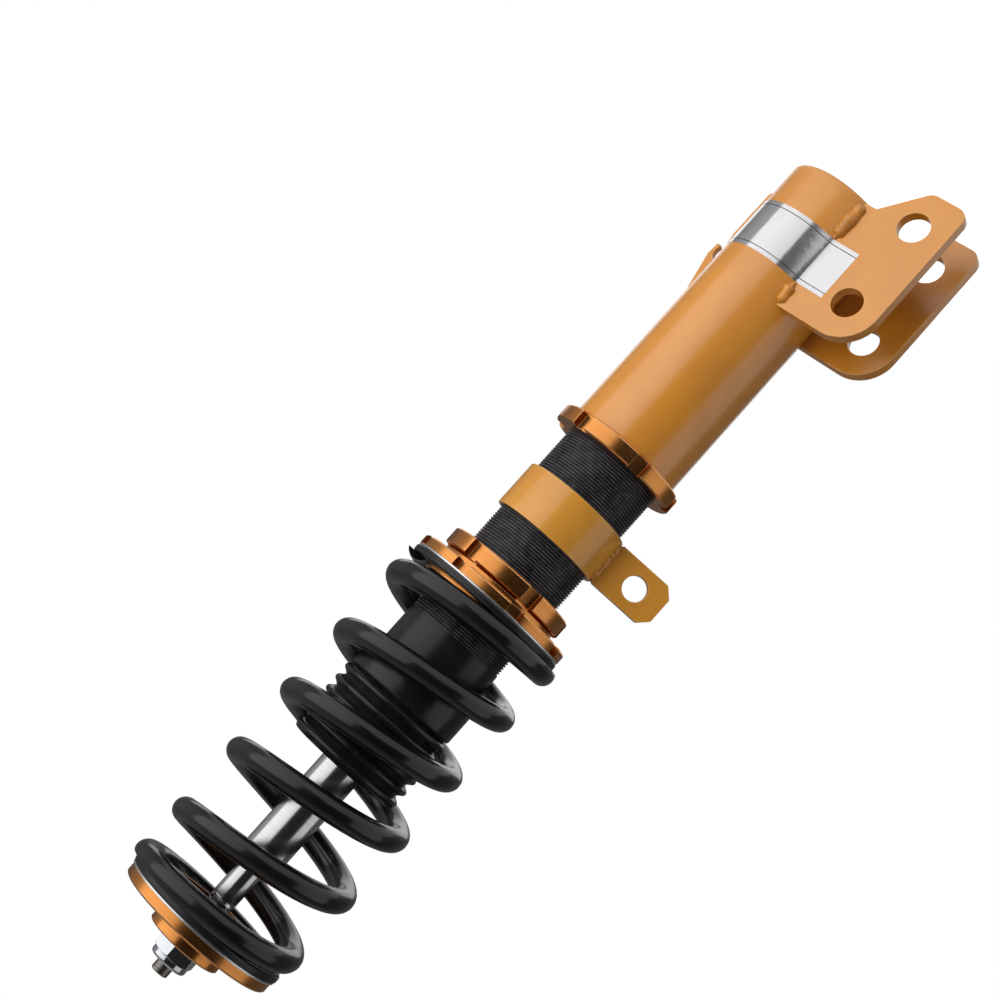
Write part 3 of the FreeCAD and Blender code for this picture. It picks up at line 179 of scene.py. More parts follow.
class Effects:
    """Builds each shared effect once and hands it out."""

    def __init__(self) -> None:
        """Makes the three node groups."""
        self.trees: Dict[Effect, NodeTree] = {}
        self._skin()
        self._turned()
        self._rim_wear_and_painted_light()

    def _open(self, effect: Effect, inputs: Sequence[str], outputs: Sequence[str]) -> Graph:
        """Starts a group with named float inputs and outputs.

        Args:
            effect: which one.
            inputs: names of its inputs.
            outputs: names of its outputs.

        Returns:
            The graph that fills the group.
        """
        tree = bpy.data.node_groups.new(effect.value, "ShaderNodeTree")
        for name in inputs:
            tree.interface.new_socket(name=name, in_out="INPUT", socket_type="NodeSocketFloat")
        for name in outputs:
            tree.interface.new_socket(name=name, in_out="OUTPUT", socket_type="NodeSocketFloat")
        self.trees[effect] = tree
        return Graph(tree)

    def _skin(self) -> None:
        """Even small ripples with slow patches, as on paint, rubber and powder coat."""
        graph = self._open(Effect.SKIN, ("Scale",), ("Height", "Patch"))
        scale = graph.add("NodeGroupInput").outputs["Scale"]
        place = graph.add("ShaderNodeTexCoord").outputs["Object"]
        fine = graph.grain(place, scale, 2.0)
        slow = graph.grain(place, graph.math("MULTIPLY", scale, 0.06), 3.0)
        graph.add("NodeGroupOutput", {"Height": fine, "Patch": slow})

    def _turned(self) -> None:
        """Fine marks that run round the strut's axis, as a lathe or a grinder leaves them."""
        graph = self._open(Effect.TURNED, ("Scale",), ("Height", "Patch"))
        scale = graph.add("NodeGroupInput").outputs["Scale"]
        place = graph.add("ShaderNodeTexCoord").outputs["Object"]
        centred = graph.add("ShaderNodeMapping", {"Vector": place, "Location": (-AXIS_X, 0.0, 0.0)})
        parts = graph.add("ShaderNodeSeparateXYZ", {0: centred.outputs[0]})
        flat = graph.add("ShaderNodeCombineXYZ", {0: parts.outputs[0], 1: parts.outputs[1]})
        away = graph.add("ShaderNodeVectorMath", {0: flat.outputs[0]}, operation="LENGTH")
        drift = graph.math("MULTIPLY", parts.outputs[0], 0.012)
        reach = graph.math("MULTIPLY", away.outputs["Value"], 0.3)
        line = graph.add("ShaderNodeCombineXYZ", {0: reach, 1: parts.outputs[2], 2: drift}).outputs[0]
        fine = graph.grain(line, scale, 2.0)
        slow = graph.grain(line, graph.math("MULTIPLY", scale, 0.25), 1.0)
        graph.add("NodeGroupOutput", {"Height": fine, "Patch": slow})

    def _rim_wear_and_painted_light(self) -> None:
        """Where an eased edge shows through, as edge wear and a painted highlight, broken up along its
        length, and where shade is painted into inside corners.
        """
        graph = self._open(Effect.RIM_WEAR_AND_PAINTED_LIGHT, ("Amount",), ("Mask", "Painted_Shade"))
        entry = graph.add("NodeGroupInput")
        rim = graph.add("ShaderNodeAttribute", attribute_name=RIM).outputs["Fac"]
        place = graph.add("ShaderNodeTexCoord").outputs["Object"]
        broken = graph.spread(graph.grain(place, 260.0, 3.0), 0.35, 0.6, 0.35, 1.0)
        # Outer eased edges, marked 1, get the rim colour: edge wear and a painted highlight.
        wear_and_highlight = graph.math("MULTIPLY", graph.math("MULTIPLY", rim, broken), entry.outputs["Amount"])
        # Faces marked below 0, inside corners, slot walls and hollows, get painted shade.
        corner = graph.spread(rim, -1.0, 0.0, 0.8, 0.0)
        graph.add("NodeGroupOutput", {"Mask": wear_and_highlight, "Painted_Shade": corner})

    def place(self, graph: Graph, effect: Effect, **inputs: float) -> Node:
        """Puts one effect into a material's graph with its own values.

        Args:
            graph: the material's graph.
            effect: which one.
            inputs: values by input name.

        Returns:
            The group node.
        """
        node = graph.add("ShaderNodeGroup", node_tree=self.trees[effect])
        for key, value in inputs.items():
            node.inputs[key].default_value = value
        return node


@dataclass(frozen=True)
class Finish:
    """One surface finish of the strut.

    Attributes:
        slot: a material slot's name; not used.
        effect: how the surface varies, even or round the axis.
        colour: the main colour.
        shade: the colour of its slow patches.
        rim: the colour of eased edges, edge wear and a painted highlight together.
        rim_wear_and_highlight_amount: how much of the rim colour shows on them.
        metallic: 1 for bare or plated metal.
        roughness: the middle of the roughness.
        swing: how far the roughness goes either way.
        scale: size of the fine marks, in marks per metre.
        depth: height of the fine marks.
        coat: weight of a clear layer on top.
        coat_roughness: roughness of that layer.
        specular: strength of the shine of a finish that isn't metal.
        corner: what is left of the shade colour where shade is painted into deep corners, slot walls and
            hollows.
    """

    slot: str
    effect: Effect
    colour: Colour
    shade: Colour
    rim: Colour
    rim_wear_and_highlight_amount: float
    metallic: float
    roughness: float
    swing: float
    scale: float
    depth: float
    coat: float = 0.0
    coat_roughness: float = 0.1
    specular: float = 0.5
    corner: Colour = (0.15, 0.19, 0.28)

    def make(self, name: str, effects: Effects) -> Material:
        """Builds the material.

        Args:
            name: the material's name.
            effects: the shared node groups.

        Returns:
            The finished material.
        """
        material, graph = open_material(name)
        marks = effects.place(graph, self.effect, Scale=self.scale)
        edge_wear_and_painted_light = effects.place(graph, Effect.RIM_WEAR_AND_PAINTED_LIGHT, Amount=self.rim_wear_and_highlight_amount)
        patch = graph.spread(marks.outputs["Patch"], 0.38, 0.62, 0.0, 1.0)
        body = graph.blend(patch, self.colour, self.shade)
        # Painted shade: deep corners, slot walls and hollows go towards a dull copy of the shade colour.
        painted_shade_colour = tuple(channel * share for channel, share in zip(self.shade, self.corner))
        body_with_painted_shade = graph.blend(edge_wear_and_painted_light.outputs["Painted_Shade"], body, painted_shade_colour)
        # Eased edges go towards the rim colour, part edge wear and part painted highlight.
        colour = graph.blend(edge_wear_and_painted_light.outputs["Mask"], body_with_painted_shade, self.rim)
        low, high = self.roughness - self.swing, self.roughness + self.swing
        roughness = graph.spread(marks.outputs["Patch"], 0.3, 0.7, low, high)
        shader = graph.add("ShaderNodeBsdfPrincipled", {
            "Base Color": colour,
            "Roughness": roughness,
            "Metallic": self.metallic,
            "Specular IOR Level": self.specular,
            "Coat Weight": self.coat,
            "Coat Roughness": self.coat_roughness,
            "Normal": graph.bump(marks.outputs["Height"], self.depth),
        })
        graph.add("ShaderNodeOutputMaterial", {"Surface": shader.outputs["BSDF"]})
        return material


@dataclass(frozen=True)
class FoilLabel:
    """The blank foil label: brushed silver film with a thin rule near each long edge."""

    slot: str = "bright_zinc"
    colour: Colour = (0.75, 0.74, 0.75)
    shade: Colour = (0.69, 0.685, 0.695)
    ink: Colour = (0.03, 0.03, 0.035)
    rule_inset: float = 2.4 * MM
    rule_half: float = 0.22 * MM
    height: float = 27.6 * MM

    def make(self, name: str, effects: Effects) -> Material:
        """Builds the foil's material from its own UV map, which is in metres.

        Args:
            name: the material's name.
            effects: the shared node groups.

        Returns:
            The finished material.
        """
        material, graph = open_material(name)
        plan = graph.add("ShaderNodeUVMap", uv_map="foil").outputs["UV"]
        parts = graph.add("ShaderNodeSeparateXYZ", {0: plan})
        stretched = graph.add("ShaderNodeMapping", {"Vector": plan, "Scale": (400.0, 9000.0, 1.0)})
        drawn = graph.grain(stretched.outputs[0], 1.0, 2.0)
        low = graph.math("COMPARE", parts.outputs[1], self.rule_inset, self.rule_half)
        high = graph.math("COMPARE", parts.outputs[1], self.height - self.rule_inset, self.rule_half)
        rules = graph.math("MAXIMUM", low, high)
        film = graph.blend(graph.spread(drawn, 0.35, 0.65, 0.0, 1.0), self.colour, self.shade)
        crinkle = effects.place(graph, Effect.SKIN, Scale=240.0)
        shader = graph.add("ShaderNodeBsdfPrincipled", {
            "Base Color": graph.blend(rules, film, self.ink),
            "Roughness": graph.spread(drawn, 0.3, 0.7, 0.11, 0.17),
            "Metallic": graph.spread(rules, 0.0, 1.0, 0.9, 0.0),
            "Normal": graph.bump(crinkle.outputs["Height"], 0.00004),
        })
        graph.add("ShaderNodeOutputMaterial", {"Surface": shader.outputs["BSDF"]})
        return material


# Each finish's rim colour is edge wear and a painted highlight on eased edges; its shade times corner is
# painted shade in deep corners.
FINISHES: Dict[str, Any] = {
    "bracket_paint": Finish(
        "bracket_paint", Effect.SKIN, (0.60, 0.232, 0.017), (0.56, 0.212, 0.014),
        (0.68, 0.31, 0.05), 0.7, 0.0, 0.33, 0.05, 900.0, 0.00006,
        specular=0.8, coat=0.8, coat_roughness=0.17),
    "weld_paint": Finish(
        "bracket_paint", Effect.SKIN, (0.58, 0.225, 0.018), (0.38, 0.135, 0.010),
        (0.66, 0.29, 0.06), 0.0, 0.0, 0.38, 0.08, 700.0, 0.0003,
        specular=0.7, coat=0.5, coat_roughness=0.2),
    "band_paint": Finish(
        "band_paint", Effect.SKIN, (0.60, 0.262, 0.030), (0.55, 0.236, 0.024),
        (0.74, 0.40, 0.10), 0.9, 0.0, 0.30, 0.05, 700.0, 0.00005,
        specular=0.5, coat=0.6, coat_roughness=0.12),
    "anodised_copper": Finish(
        "anodised_copper", Effect.TURNED, (0.86, 0.355, 0.10), (0.80, 0.315, 0.082),
        (0.95, 0.60, 0.30), 0.75, 1.0, 0.25, 0.012, 5200.0, 0.000002),
    "damper_black": Finish(
        "damper_black", Effect.SKIN, (0.0045, 0.004, 0.005), (0.008, 0.007, 0.009),
        (0.05, 0.05, 0.055), 0.4, 0.0, 0.33, 0.06, 1400.0, 0.00002,
        coat=0.5, coat_roughness=0.22),
    # Its rim colour is a painted grey highlight along the thread's crests.
    "thread_black": Finish(
        "damper_black", Effect.SKIN, (0.0045, 0.004, 0.005), (0.008, 0.007, 0.009),
        (0.095, 0.09, 0.10), 0.9, 0.0, 0.33, 0.06, 1400.0, 0.00002,
        coat=0.25, coat_roughness=0.22, specular=0.35),
    "spring_black": Finish(
        "spring_black", Effect.SKIN, (0.0035, 0.003, 0.0038), (0.005, 0.0045, 0.0055),
        (0.03, 0.03, 0.03), 0.3, 0.0, 0.36, 0.05, 620.0, 0.00003,
        specular=0.2, coat=0.8, coat_roughness=0.15),
    "rubber_black": Finish(
        "rubber_black", Effect.SKIN, (0.006, 0.006, 0.0065), (0.010, 0.010, 0.011),
        (0.03, 0.03, 0.03), 0.4, 0.0, 0.25, 0.05, 2200.0, 0.00003),
    "pad_black": Finish(
        "pad_black", Effect.SKIN, (0.006, 0.006, 0.0065), (0.010, 0.010, 0.011),
        (0.03, 0.03, 0.03), 0.4, 0.0, 0.34, 0.06, 1800.0, 0.00002),
    "bright_washer": Finish(
        "bright_washer", Effect.TURNED, (0.93, 0.93, 0.93), (0.88, 0.88, 0.89),
        (0.96, 0.96, 0.96), 0.5, 1.0, 0.34, 0.02, 5000.0, 0.000006),
    "hard_chrome": Finish(
        "hard_chrome", Effect.TURNED, (0.76, 0.755, 0.77), (0.70, 0.70, 0.72),
        (0.85, 0.85, 0.86), 0.5, 1.0, 0.20, 0.02, 6000.0, 0.0000012),
    "bright_zinc": Finish(
        "bright_zinc", Effect.SKIN, (0.78, 0.80, 0.82), (0.70, 0.72, 0.75),
        (0.92, 0.93, 0.94), 0.6, 1.0, 0.12, 0.03, 900.0, 0.00001),
    "tool_steel": Finish(
        "tool_steel", Effect.TURNED, (0.34, 0.31, 0.28), (0.24, 0.22, 0.20),
        (0.5, 0.48, 0.45), 0.6, 1.0, 0.36, 0.07, 3800.0, 0.00002),
    "sintered_iron": Finish(
        "sintered_iron", Effect.SKIN, (0.20, 0.20, 0.21), (0.14, 0.14, 0.15),
        (0.4, 0.4, 0.4), 0.4, 0.9, 0.48, 0.06, 3000.0, 0.00004),
    "seal_rubber": Finish(
        "seal_rubber", Effect.SKIN, (0.03, 0.03, 0.032), (0.02, 0.02, 0.022),
        (0.05, 0.05, 0.05), 0.2, 0.0, 0.5, 0.06, 2400.0, 0.00003),
    "white_nylon": Finish(
        "white_nylon", Effect.TURNED, (0.72, 0.71, 0.66), (0.64, 0.63, 0.58),
        (0.8, 0.8, 0.76), 0.3, 0.0, 0.42, 0.05, 2600.0, 0.00002),
    "bronze_liner": Finish(
        "bronze_liner", Effect.TURNED, (0.62, 0.38, 0.16), (0.52, 0.31, 0.12),
        (0.8, 0.6, 0.3), 0.4, 1.0, 0.34, 0.06, 4200.0, 0.00002),
    "label_foil": FoilLabel(),
}


class Paintshop:
    """Makes each finish once and puts it on pieces."""

    def __init__(self) -> None:
        """Starts with the shared effects and no materials."""
        self.effects = Effects()
        self.made: Dict[str, Material] = {}

    def material(self, finish: str) -> Material:
        """The material of a finish, built when it is first asked for.

        Args:
            finish: a key of FINISHES.

        Returns:
            The shared material.
        """
        if finish not in self.made:
            self.made[finish] = FINISHES[finish].make(finish, self.effects)
        return self.made[finish]

    def coat(self, piece: Object, finish: str) -> None:
        """Gives a piece one finish all over."""
        piece.data.materials.clear()
        piece.data.materials.append(self.material(finish))

    def mount(self, piece: Object, finish: str, body: str, *nodes: str) -> None:
        """Coats a piece, hangs it on its body and lets it stand for its nodes.

        Args:
            piece: the finished piece.
            finish: a key of FINISHES.
            body: the body it moves with.
            nodes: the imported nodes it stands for.
        """
        self.coat(piece, finish)
        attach(piece, body)
        if nodes:
            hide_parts(*nodes)
        LOG.info("%s rides on %s in %s", piece.name, body, finish)


# ---------------------------------------------------------------- mesh making


def finish_mesh(name: str, mesh: BMesh, crease: float = 32.0,
                flats: bool = False) -> Object:
    """Turns a bmesh into an object with smooth faces and sharp creases.

    Args:
        name: the piece's name.
        mesh: the shape, which is freed.
        crease: the angle in degrees past which an edge stays sharp.
        flats: whether large faces keep their own normals beside eased edges.

    Returns:
        The new object, in the scene.
    """
    for face in mesh.faces:
        face.smooth = True
    limit = math.radians(crease)
    for edge in mesh.edges:
        edge.smooth = edge.is_manifold and edge.calc_face_angle(0.0) < limit
    data = bpy.data.meshes.new(name)
    mesh.to_mesh(data)
    mesh.free()
    piece = bpy.data.objects.new(name, data)
    bpy.context.scene.collection.objects.link(piece)
    if flats:
        even = piece.modifiers.new("flats", "WEIGHTED_NORMAL")
        even.keep_sharp = True
    return piece


def only(items: Sequence[Any], kind: type) -> List[Any]:
    """The items of one kind, such as the points of what an operator made."""
    return [item for item in items if isinstance(item, kind)]


def whole(mesh: BMesh) -> List[Any]:
    """Everything in a shape."""
    return mesh.verts[:] + mesh.edges[:] + mesh.faces[:]


def open_edges(mesh: BMesh) -> List[BMEdge]:
    """The edges with a face on one side only."""
    return [edge for edge in mesh.edges if edge.is_boundary]


def absorb(mesh: BMesh, part: BMesh) -> None:
    """Adds a part that was drawn on its own to a shape, and frees it.

    Args:
        mesh: the shape that grows.
        part: what is added.
    """
    data = bpy.data.meshes.new("part")
    part.to_mesh(data)
    part.free()
    mesh.from_mesh(data)
    bpy.data.meshes.remove(data)


def slice_off(mesh: BMesh, at: Sequence[float], way: Sequence[float]) -> None:
    """Cuts away what lies past a plane, and closes the cut.

    Args:
        mesh: the shape.
        at: a point on the plane.
        way: the side that goes.
    """
    cut = bmesh.ops.bisect_plane(
        mesh, geom=whole(mesh), dist=CUT, plane_co=at, plane_no=way, clear_outer=True)
    bmesh.ops.holes_fill(mesh, edges=only(cut["geom_cut"], BMEdge), sides=0)


def rim_layer(mesh: BMesh) -> Any:
    """The layer that marks eased edges, for edge wear and a painted highlight, and deep faces, for painted
    shade.
    """
    return mesh.loops.layers.float.get(RIM) or mesh.loops.layers.float.new(RIM)


def mark(face: BMFace, rim: Any, value: float) -> None:
    """Writes one value into the rim layer all over a face."""
    for loop in face.loops:
        loop[rim] = value


def to_axis(mesh: BMesh) -> None:
    """Moves a shape drawn about the origin to the strut's axis."""
    bmesh.ops.translate(mesh, vec=(AXIS_X, 0.0, 0.0), verts=mesh.verts)


def lathe(mesh: BMesh, outline: Outline, steps: int = 96) -> None:
    """Spins a closed outline of radius and height into a turned shape.

    Args:
        mesh: where the shape goes.
        outline: the points, in order.
        steps: faces round the axis.
    """
    verts = [mesh.verts.new((radius, 0.0, height)) for radius, height in outline]
    edges = [mesh.edges.new(pair) for pair in zip(verts, verts[1:] + verts[:1])]
    bmesh.ops.spin(
        mesh, geom=verts + edges, cent=(0, 0, 0), axis=(0, 0, 1), dvec=(0, 0, 0),
        angle=FULL_TURN, steps=steps, use_merge=True, use_duplicate=False)
    bmesh.ops.remove_doubles(mesh, verts=mesh.verts, dist=CUT)
    bmesh.ops.recalc_face_normals(mesh, faces=mesh.faces)


@dataclass(frozen=True)
class ScrewThread:
    """An outside thread with a real helix.

    Attributes:
        crest: radius of the thread's top.
        depth: height of a tooth.
        pitch: rise in one turn.
        low: where it starts.
        high: about where it ends.
        bore: inside radius of the sleeve that carries it.
        steps: faces round one turn.
    """

    crest: float
    depth: float
    pitch: float
    low: float
    high: float
    bore: float
    steps: int = 72

    def cut(self, mesh: BMesh) -> None:
        """Spins the row of teeth up by one pitch, and closes the sleeve inside.

        Args:
            mesh: where the shape goes.
        """
        teeth = int((self.high - self.low) / self.pitch)
        root = self.crest - self.depth
        outline: List[Tuple[float, float]] = []
        for tooth in range(teeth):
            foot = self.low + tooth * self.pitch
            for radius, share in ((root, 0.0), (root, 0.16), (self.crest, 0.5), (self.crest, 0.66)):
                outline.append((radius, foot + share * self.pitch))
        outline.append((root, self.low + teeth * self.pitch))
        verts = [mesh.verts.new((radius, 0.0, height)) for radius, height in outline]
        edges = [mesh.edges.new(pair) for pair in zip(verts, verts[1:])]
        bmesh.ops.spin(
            mesh, geom=verts + edges, cent=(0, 0, 0), axis=(0, 0, 1),
            dvec=(0, 0, self.pitch / self.steps), angle=FULL_TURN, steps=self.steps,
            use_merge=False, use_duplicate=False)
        bmesh.ops.remove_doubles(mesh, verts=mesh.verts, dist=2e-7)
        grown = bmesh.ops.extrude_edge_only(mesh, edges=open_edges(mesh))
        for vert in only(grown["geom"], BMVert):
            share = self.bore / math.hypot(vert.co.x, vert.co.y)
            vert.co.x *= share
            vert.co.y *= share
        bmesh.ops.bridge_loops(mesh, edges=open_edges(mesh))
        bmesh.ops.recalc_face_normals(mesh, faces=mesh.faces)
        # The crests are marked as eased edges, so the rim colour paints a highlight line along them.
        rim = rim_layer(mesh)
        for face in mesh.faces:
            for loop in face.loops:
                away = math.hypot(loop.vert.co.x, loop.vert.co.y)
                loop[rim] = float(away > self.crest - 0.1 * MM)


def sweep(mesh: BMesh, places: Sequence[Matrix], sides: int,
          shares: Optional[Sequence[float]] = None, layer: str = "") -> None:
    """Draws a round section through a row of places.

    Args:
        mesh: where the shape goes.
        places: the section's place at each step; its scale is the radius.
        sides: corners of the section.
        shares: a value for each place, kept on its points.
        layer: the name that the values are kept under.
    """
    kept = mesh.verts.layers.float.new(layer) if layer else None
    ring = bmesh.ops.create_circle(mesh, segments=sides, radius=1.0, matrix=places[0])
    verts = ring["verts"]
    edges = list({edge for vert in verts for edge in vert.link_edges})
    for number, place in enumerate(places):
        if number:
            grown = bmesh.ops.extrude_edge_only(mesh, edges=edges)["geom"]
            verts = only(grown, BMVert)
            chosen = set(verts)
            edges = [item for item in only(grown, BMEdge)
                     if item.verts[0] in chosen and item.verts[1] in chosen]
            bmesh.ops.transform(mesh, matrix=place @ places[number - 1].inverted(), verts=verts)
        if kept is not None and shares is not None:
            for vert in verts:
                vert[kept] = shares[number]
    bmesh.ops.holes_fill(mesh, edges=open_edges(mesh), sides=0)
    bmesh.ops.recalc_face_normals(mesh, faces=mesh.faces)


def ball(at: Vector, size: float) -> Matrix:
    """A place for a section of one size that keeps its turn."""
    return Matrix.Translation(at) @ Matrix.Diagonal((size, size, size, 1.0))


def section(at: Vector, along: Vector, radius: float) -> Matrix:
    """A place for a round section across the way it goes, its first axis away from the strut.

    Args:
        at: its middle.
        along: the way the wire goes.
        radius: its radius.

    Returns:
        The place, whose scale is the radius.
    """
    along = along.normalized()
    away = Vector((at.x, at.y, 0.0))
    away = (away - away.project(along)).normalized()
    side = along.cross(away)
    turn = Matrix((away, side, along)).transposed().to_4x4()
    return Matrix.Translation(at) @ turn @ Matrix.Diagonal((radius, radius, radius, 1.0))


EdgeTest = Callable[[BMEdge], bool]


def is_hollow(face: BMFace) -> bool:
    """Whether a face lies deeper than its neighbours, as in an inside corner.

    Args:
        face: the face.

    Returns:
        True in an inside corner.
    """
    rise = 0.0
    for edge in face.edges:
        middle = (edge.verts[0].co + edge.verts[1].co) / 2
        for other in edge.link_faces:
            if other is not face:
                toward = (other.calc_center_median() - middle).normalized()
                rise += toward.dot(face.normal) * edge.calc_length()
    return rise > 0.0


def ease_edges(mesh: BMesh, width: float, segments: int, test: EdgeTest) -> None:
    """Rounds the chosen edges and marks them in the rim layer.

    Outer edges get 1, for edge wear and a painted highlight, and inside corners get -1, for painted shade.

    Args:
        mesh: the shape.
        width: how far the rounding reaches.
        segments: its steps.
        test: which edges are rounded.
    """
    rim = rim_layer(mesh)
    chosen = [edge for edge in mesh.edges if edge.is_manifold and test(edge)]
    made = bmesh.ops.bevel(
        mesh, geom=chosen, offset=width, offset_type="OFFSET", segments=segments,
        profile=0.5, affect="EDGES", clamp_overlap=False, material=-1)
    mesh.normal_update()
    for face in made["faces"]:
        mark(face, rim, -1.0 if is_hollow(face) else 1.0)


def paint_shade_on_walls(mesh: BMesh) -> None:
    """Paints shade on the upright faces that stand across a ring, the walls of its slots, by marking them as
    deep corners.

    Args:
        mesh: the ring.
    """
    rim = rim_layer(mesh)
    for face in mesh.faces:
        middle = face.calc_center_median()
        away = Vector((middle.x - AXIS_X, middle.y, 0.0)).normalized()
        if abs(face.normal.z) < 0.2 and abs(face.normal.dot(away)) < 0.45:
            mark(face, rim, PAINTED_WALL_SHADE)


def is_sharp(edge: BMEdge) -> bool:
    """Whether two faces meet at more than the step of a curved wall."""
    return edge.calc_face_angle(0.0) > math.radians(28.0)


def merged_copy(node: str) -> BMesh:
    """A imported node's shape with its doubles merged and its flat faces joined.

    Args:
        node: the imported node.

    Returns:
        The shape, on its own.
    """
    mesh = bmesh.new()
    mesh.from_mesh(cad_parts[node].data)
    bmesh.ops.remove_doubles(mesh, verts=mesh.verts, dist=MERGE)
    bmesh.ops.dissolve_limit(
        mesh, angle_limit=math.radians(0.5), verts=mesh.verts, edges=mesh.edges,
        use_dissolve_boundaries=False)
    return mesh


def eased_copy(node: str, name: str, width: float, segments: int = 2,
               first: Optional[Tuple[float, EdgeTest]] = None) -> Object:
    """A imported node's shape with its sharp edges rounded.

    Args:
        node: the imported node.
        name: the new piece's name.
        width: how far the rounding reaches.
        segments: steps of the rounding.
        first: a larger rounding for some edges, done before the rest.

    Returns:
        The new piece.
    """
    mesh = merged_copy(node)
    if first is not None:
        ease_edges(mesh, first[0], 2, first[1])
        # Painted shade on the slot walls.
        paint_shade_on_walls(mesh)
    ease_edges(mesh, width, segments, is_sharp)
    return finish_mesh(name, mesh, flats=True)


def paint_hollow_shade(piece: Object, reach: float, low: float, high: float) -> None:
    """Paints shade on the faces near the axis and between two heights, as dark as on deep corners.

    Args:
        piece: the piece.
        reach: how far from the axis.
        low: the lower height.
        high: the upper height.
    """
    mesh = bmesh.new()
    mesh.from_mesh(piece.data)
    rim = mesh.loops.layers.float[RIM]
    for face in mesh.faces:
        middle = face.calc_center_median()
        if math.hypot(middle.x - AXIS_X, middle.y) < reach and low < middle.z < high:
            mark(face, rim, PAINTED_HOLLOW_SHADE)
    mesh.to_mesh(piece.data)
    mesh.free()


def upright_at(reach: float) -> EdgeTest:
    """A test for upright edges at one distance from the strut's axis.

    Args:
        reach: the distance.

    Returns:
        The test.
    """
    slack = 0.3 * MM

    def test(edge: BMEdge) -> bool:
        """Whether this edge is one of them.

        Args:
            edge: the edge.

        Returns:
            True where it is.
        """
        low, high = edge.verts
        upright = math.hypot(low.co.x - high.co.x, low.co.y - high.co.y) < 1e-5
        away = math.hypot(low.co.x - AXIS_X, low.co.y)
        return upright and is_sharp(edge) and abs(away - reach) < slack
    return test


# ---------------------------------------------------------------- sub-assemblies


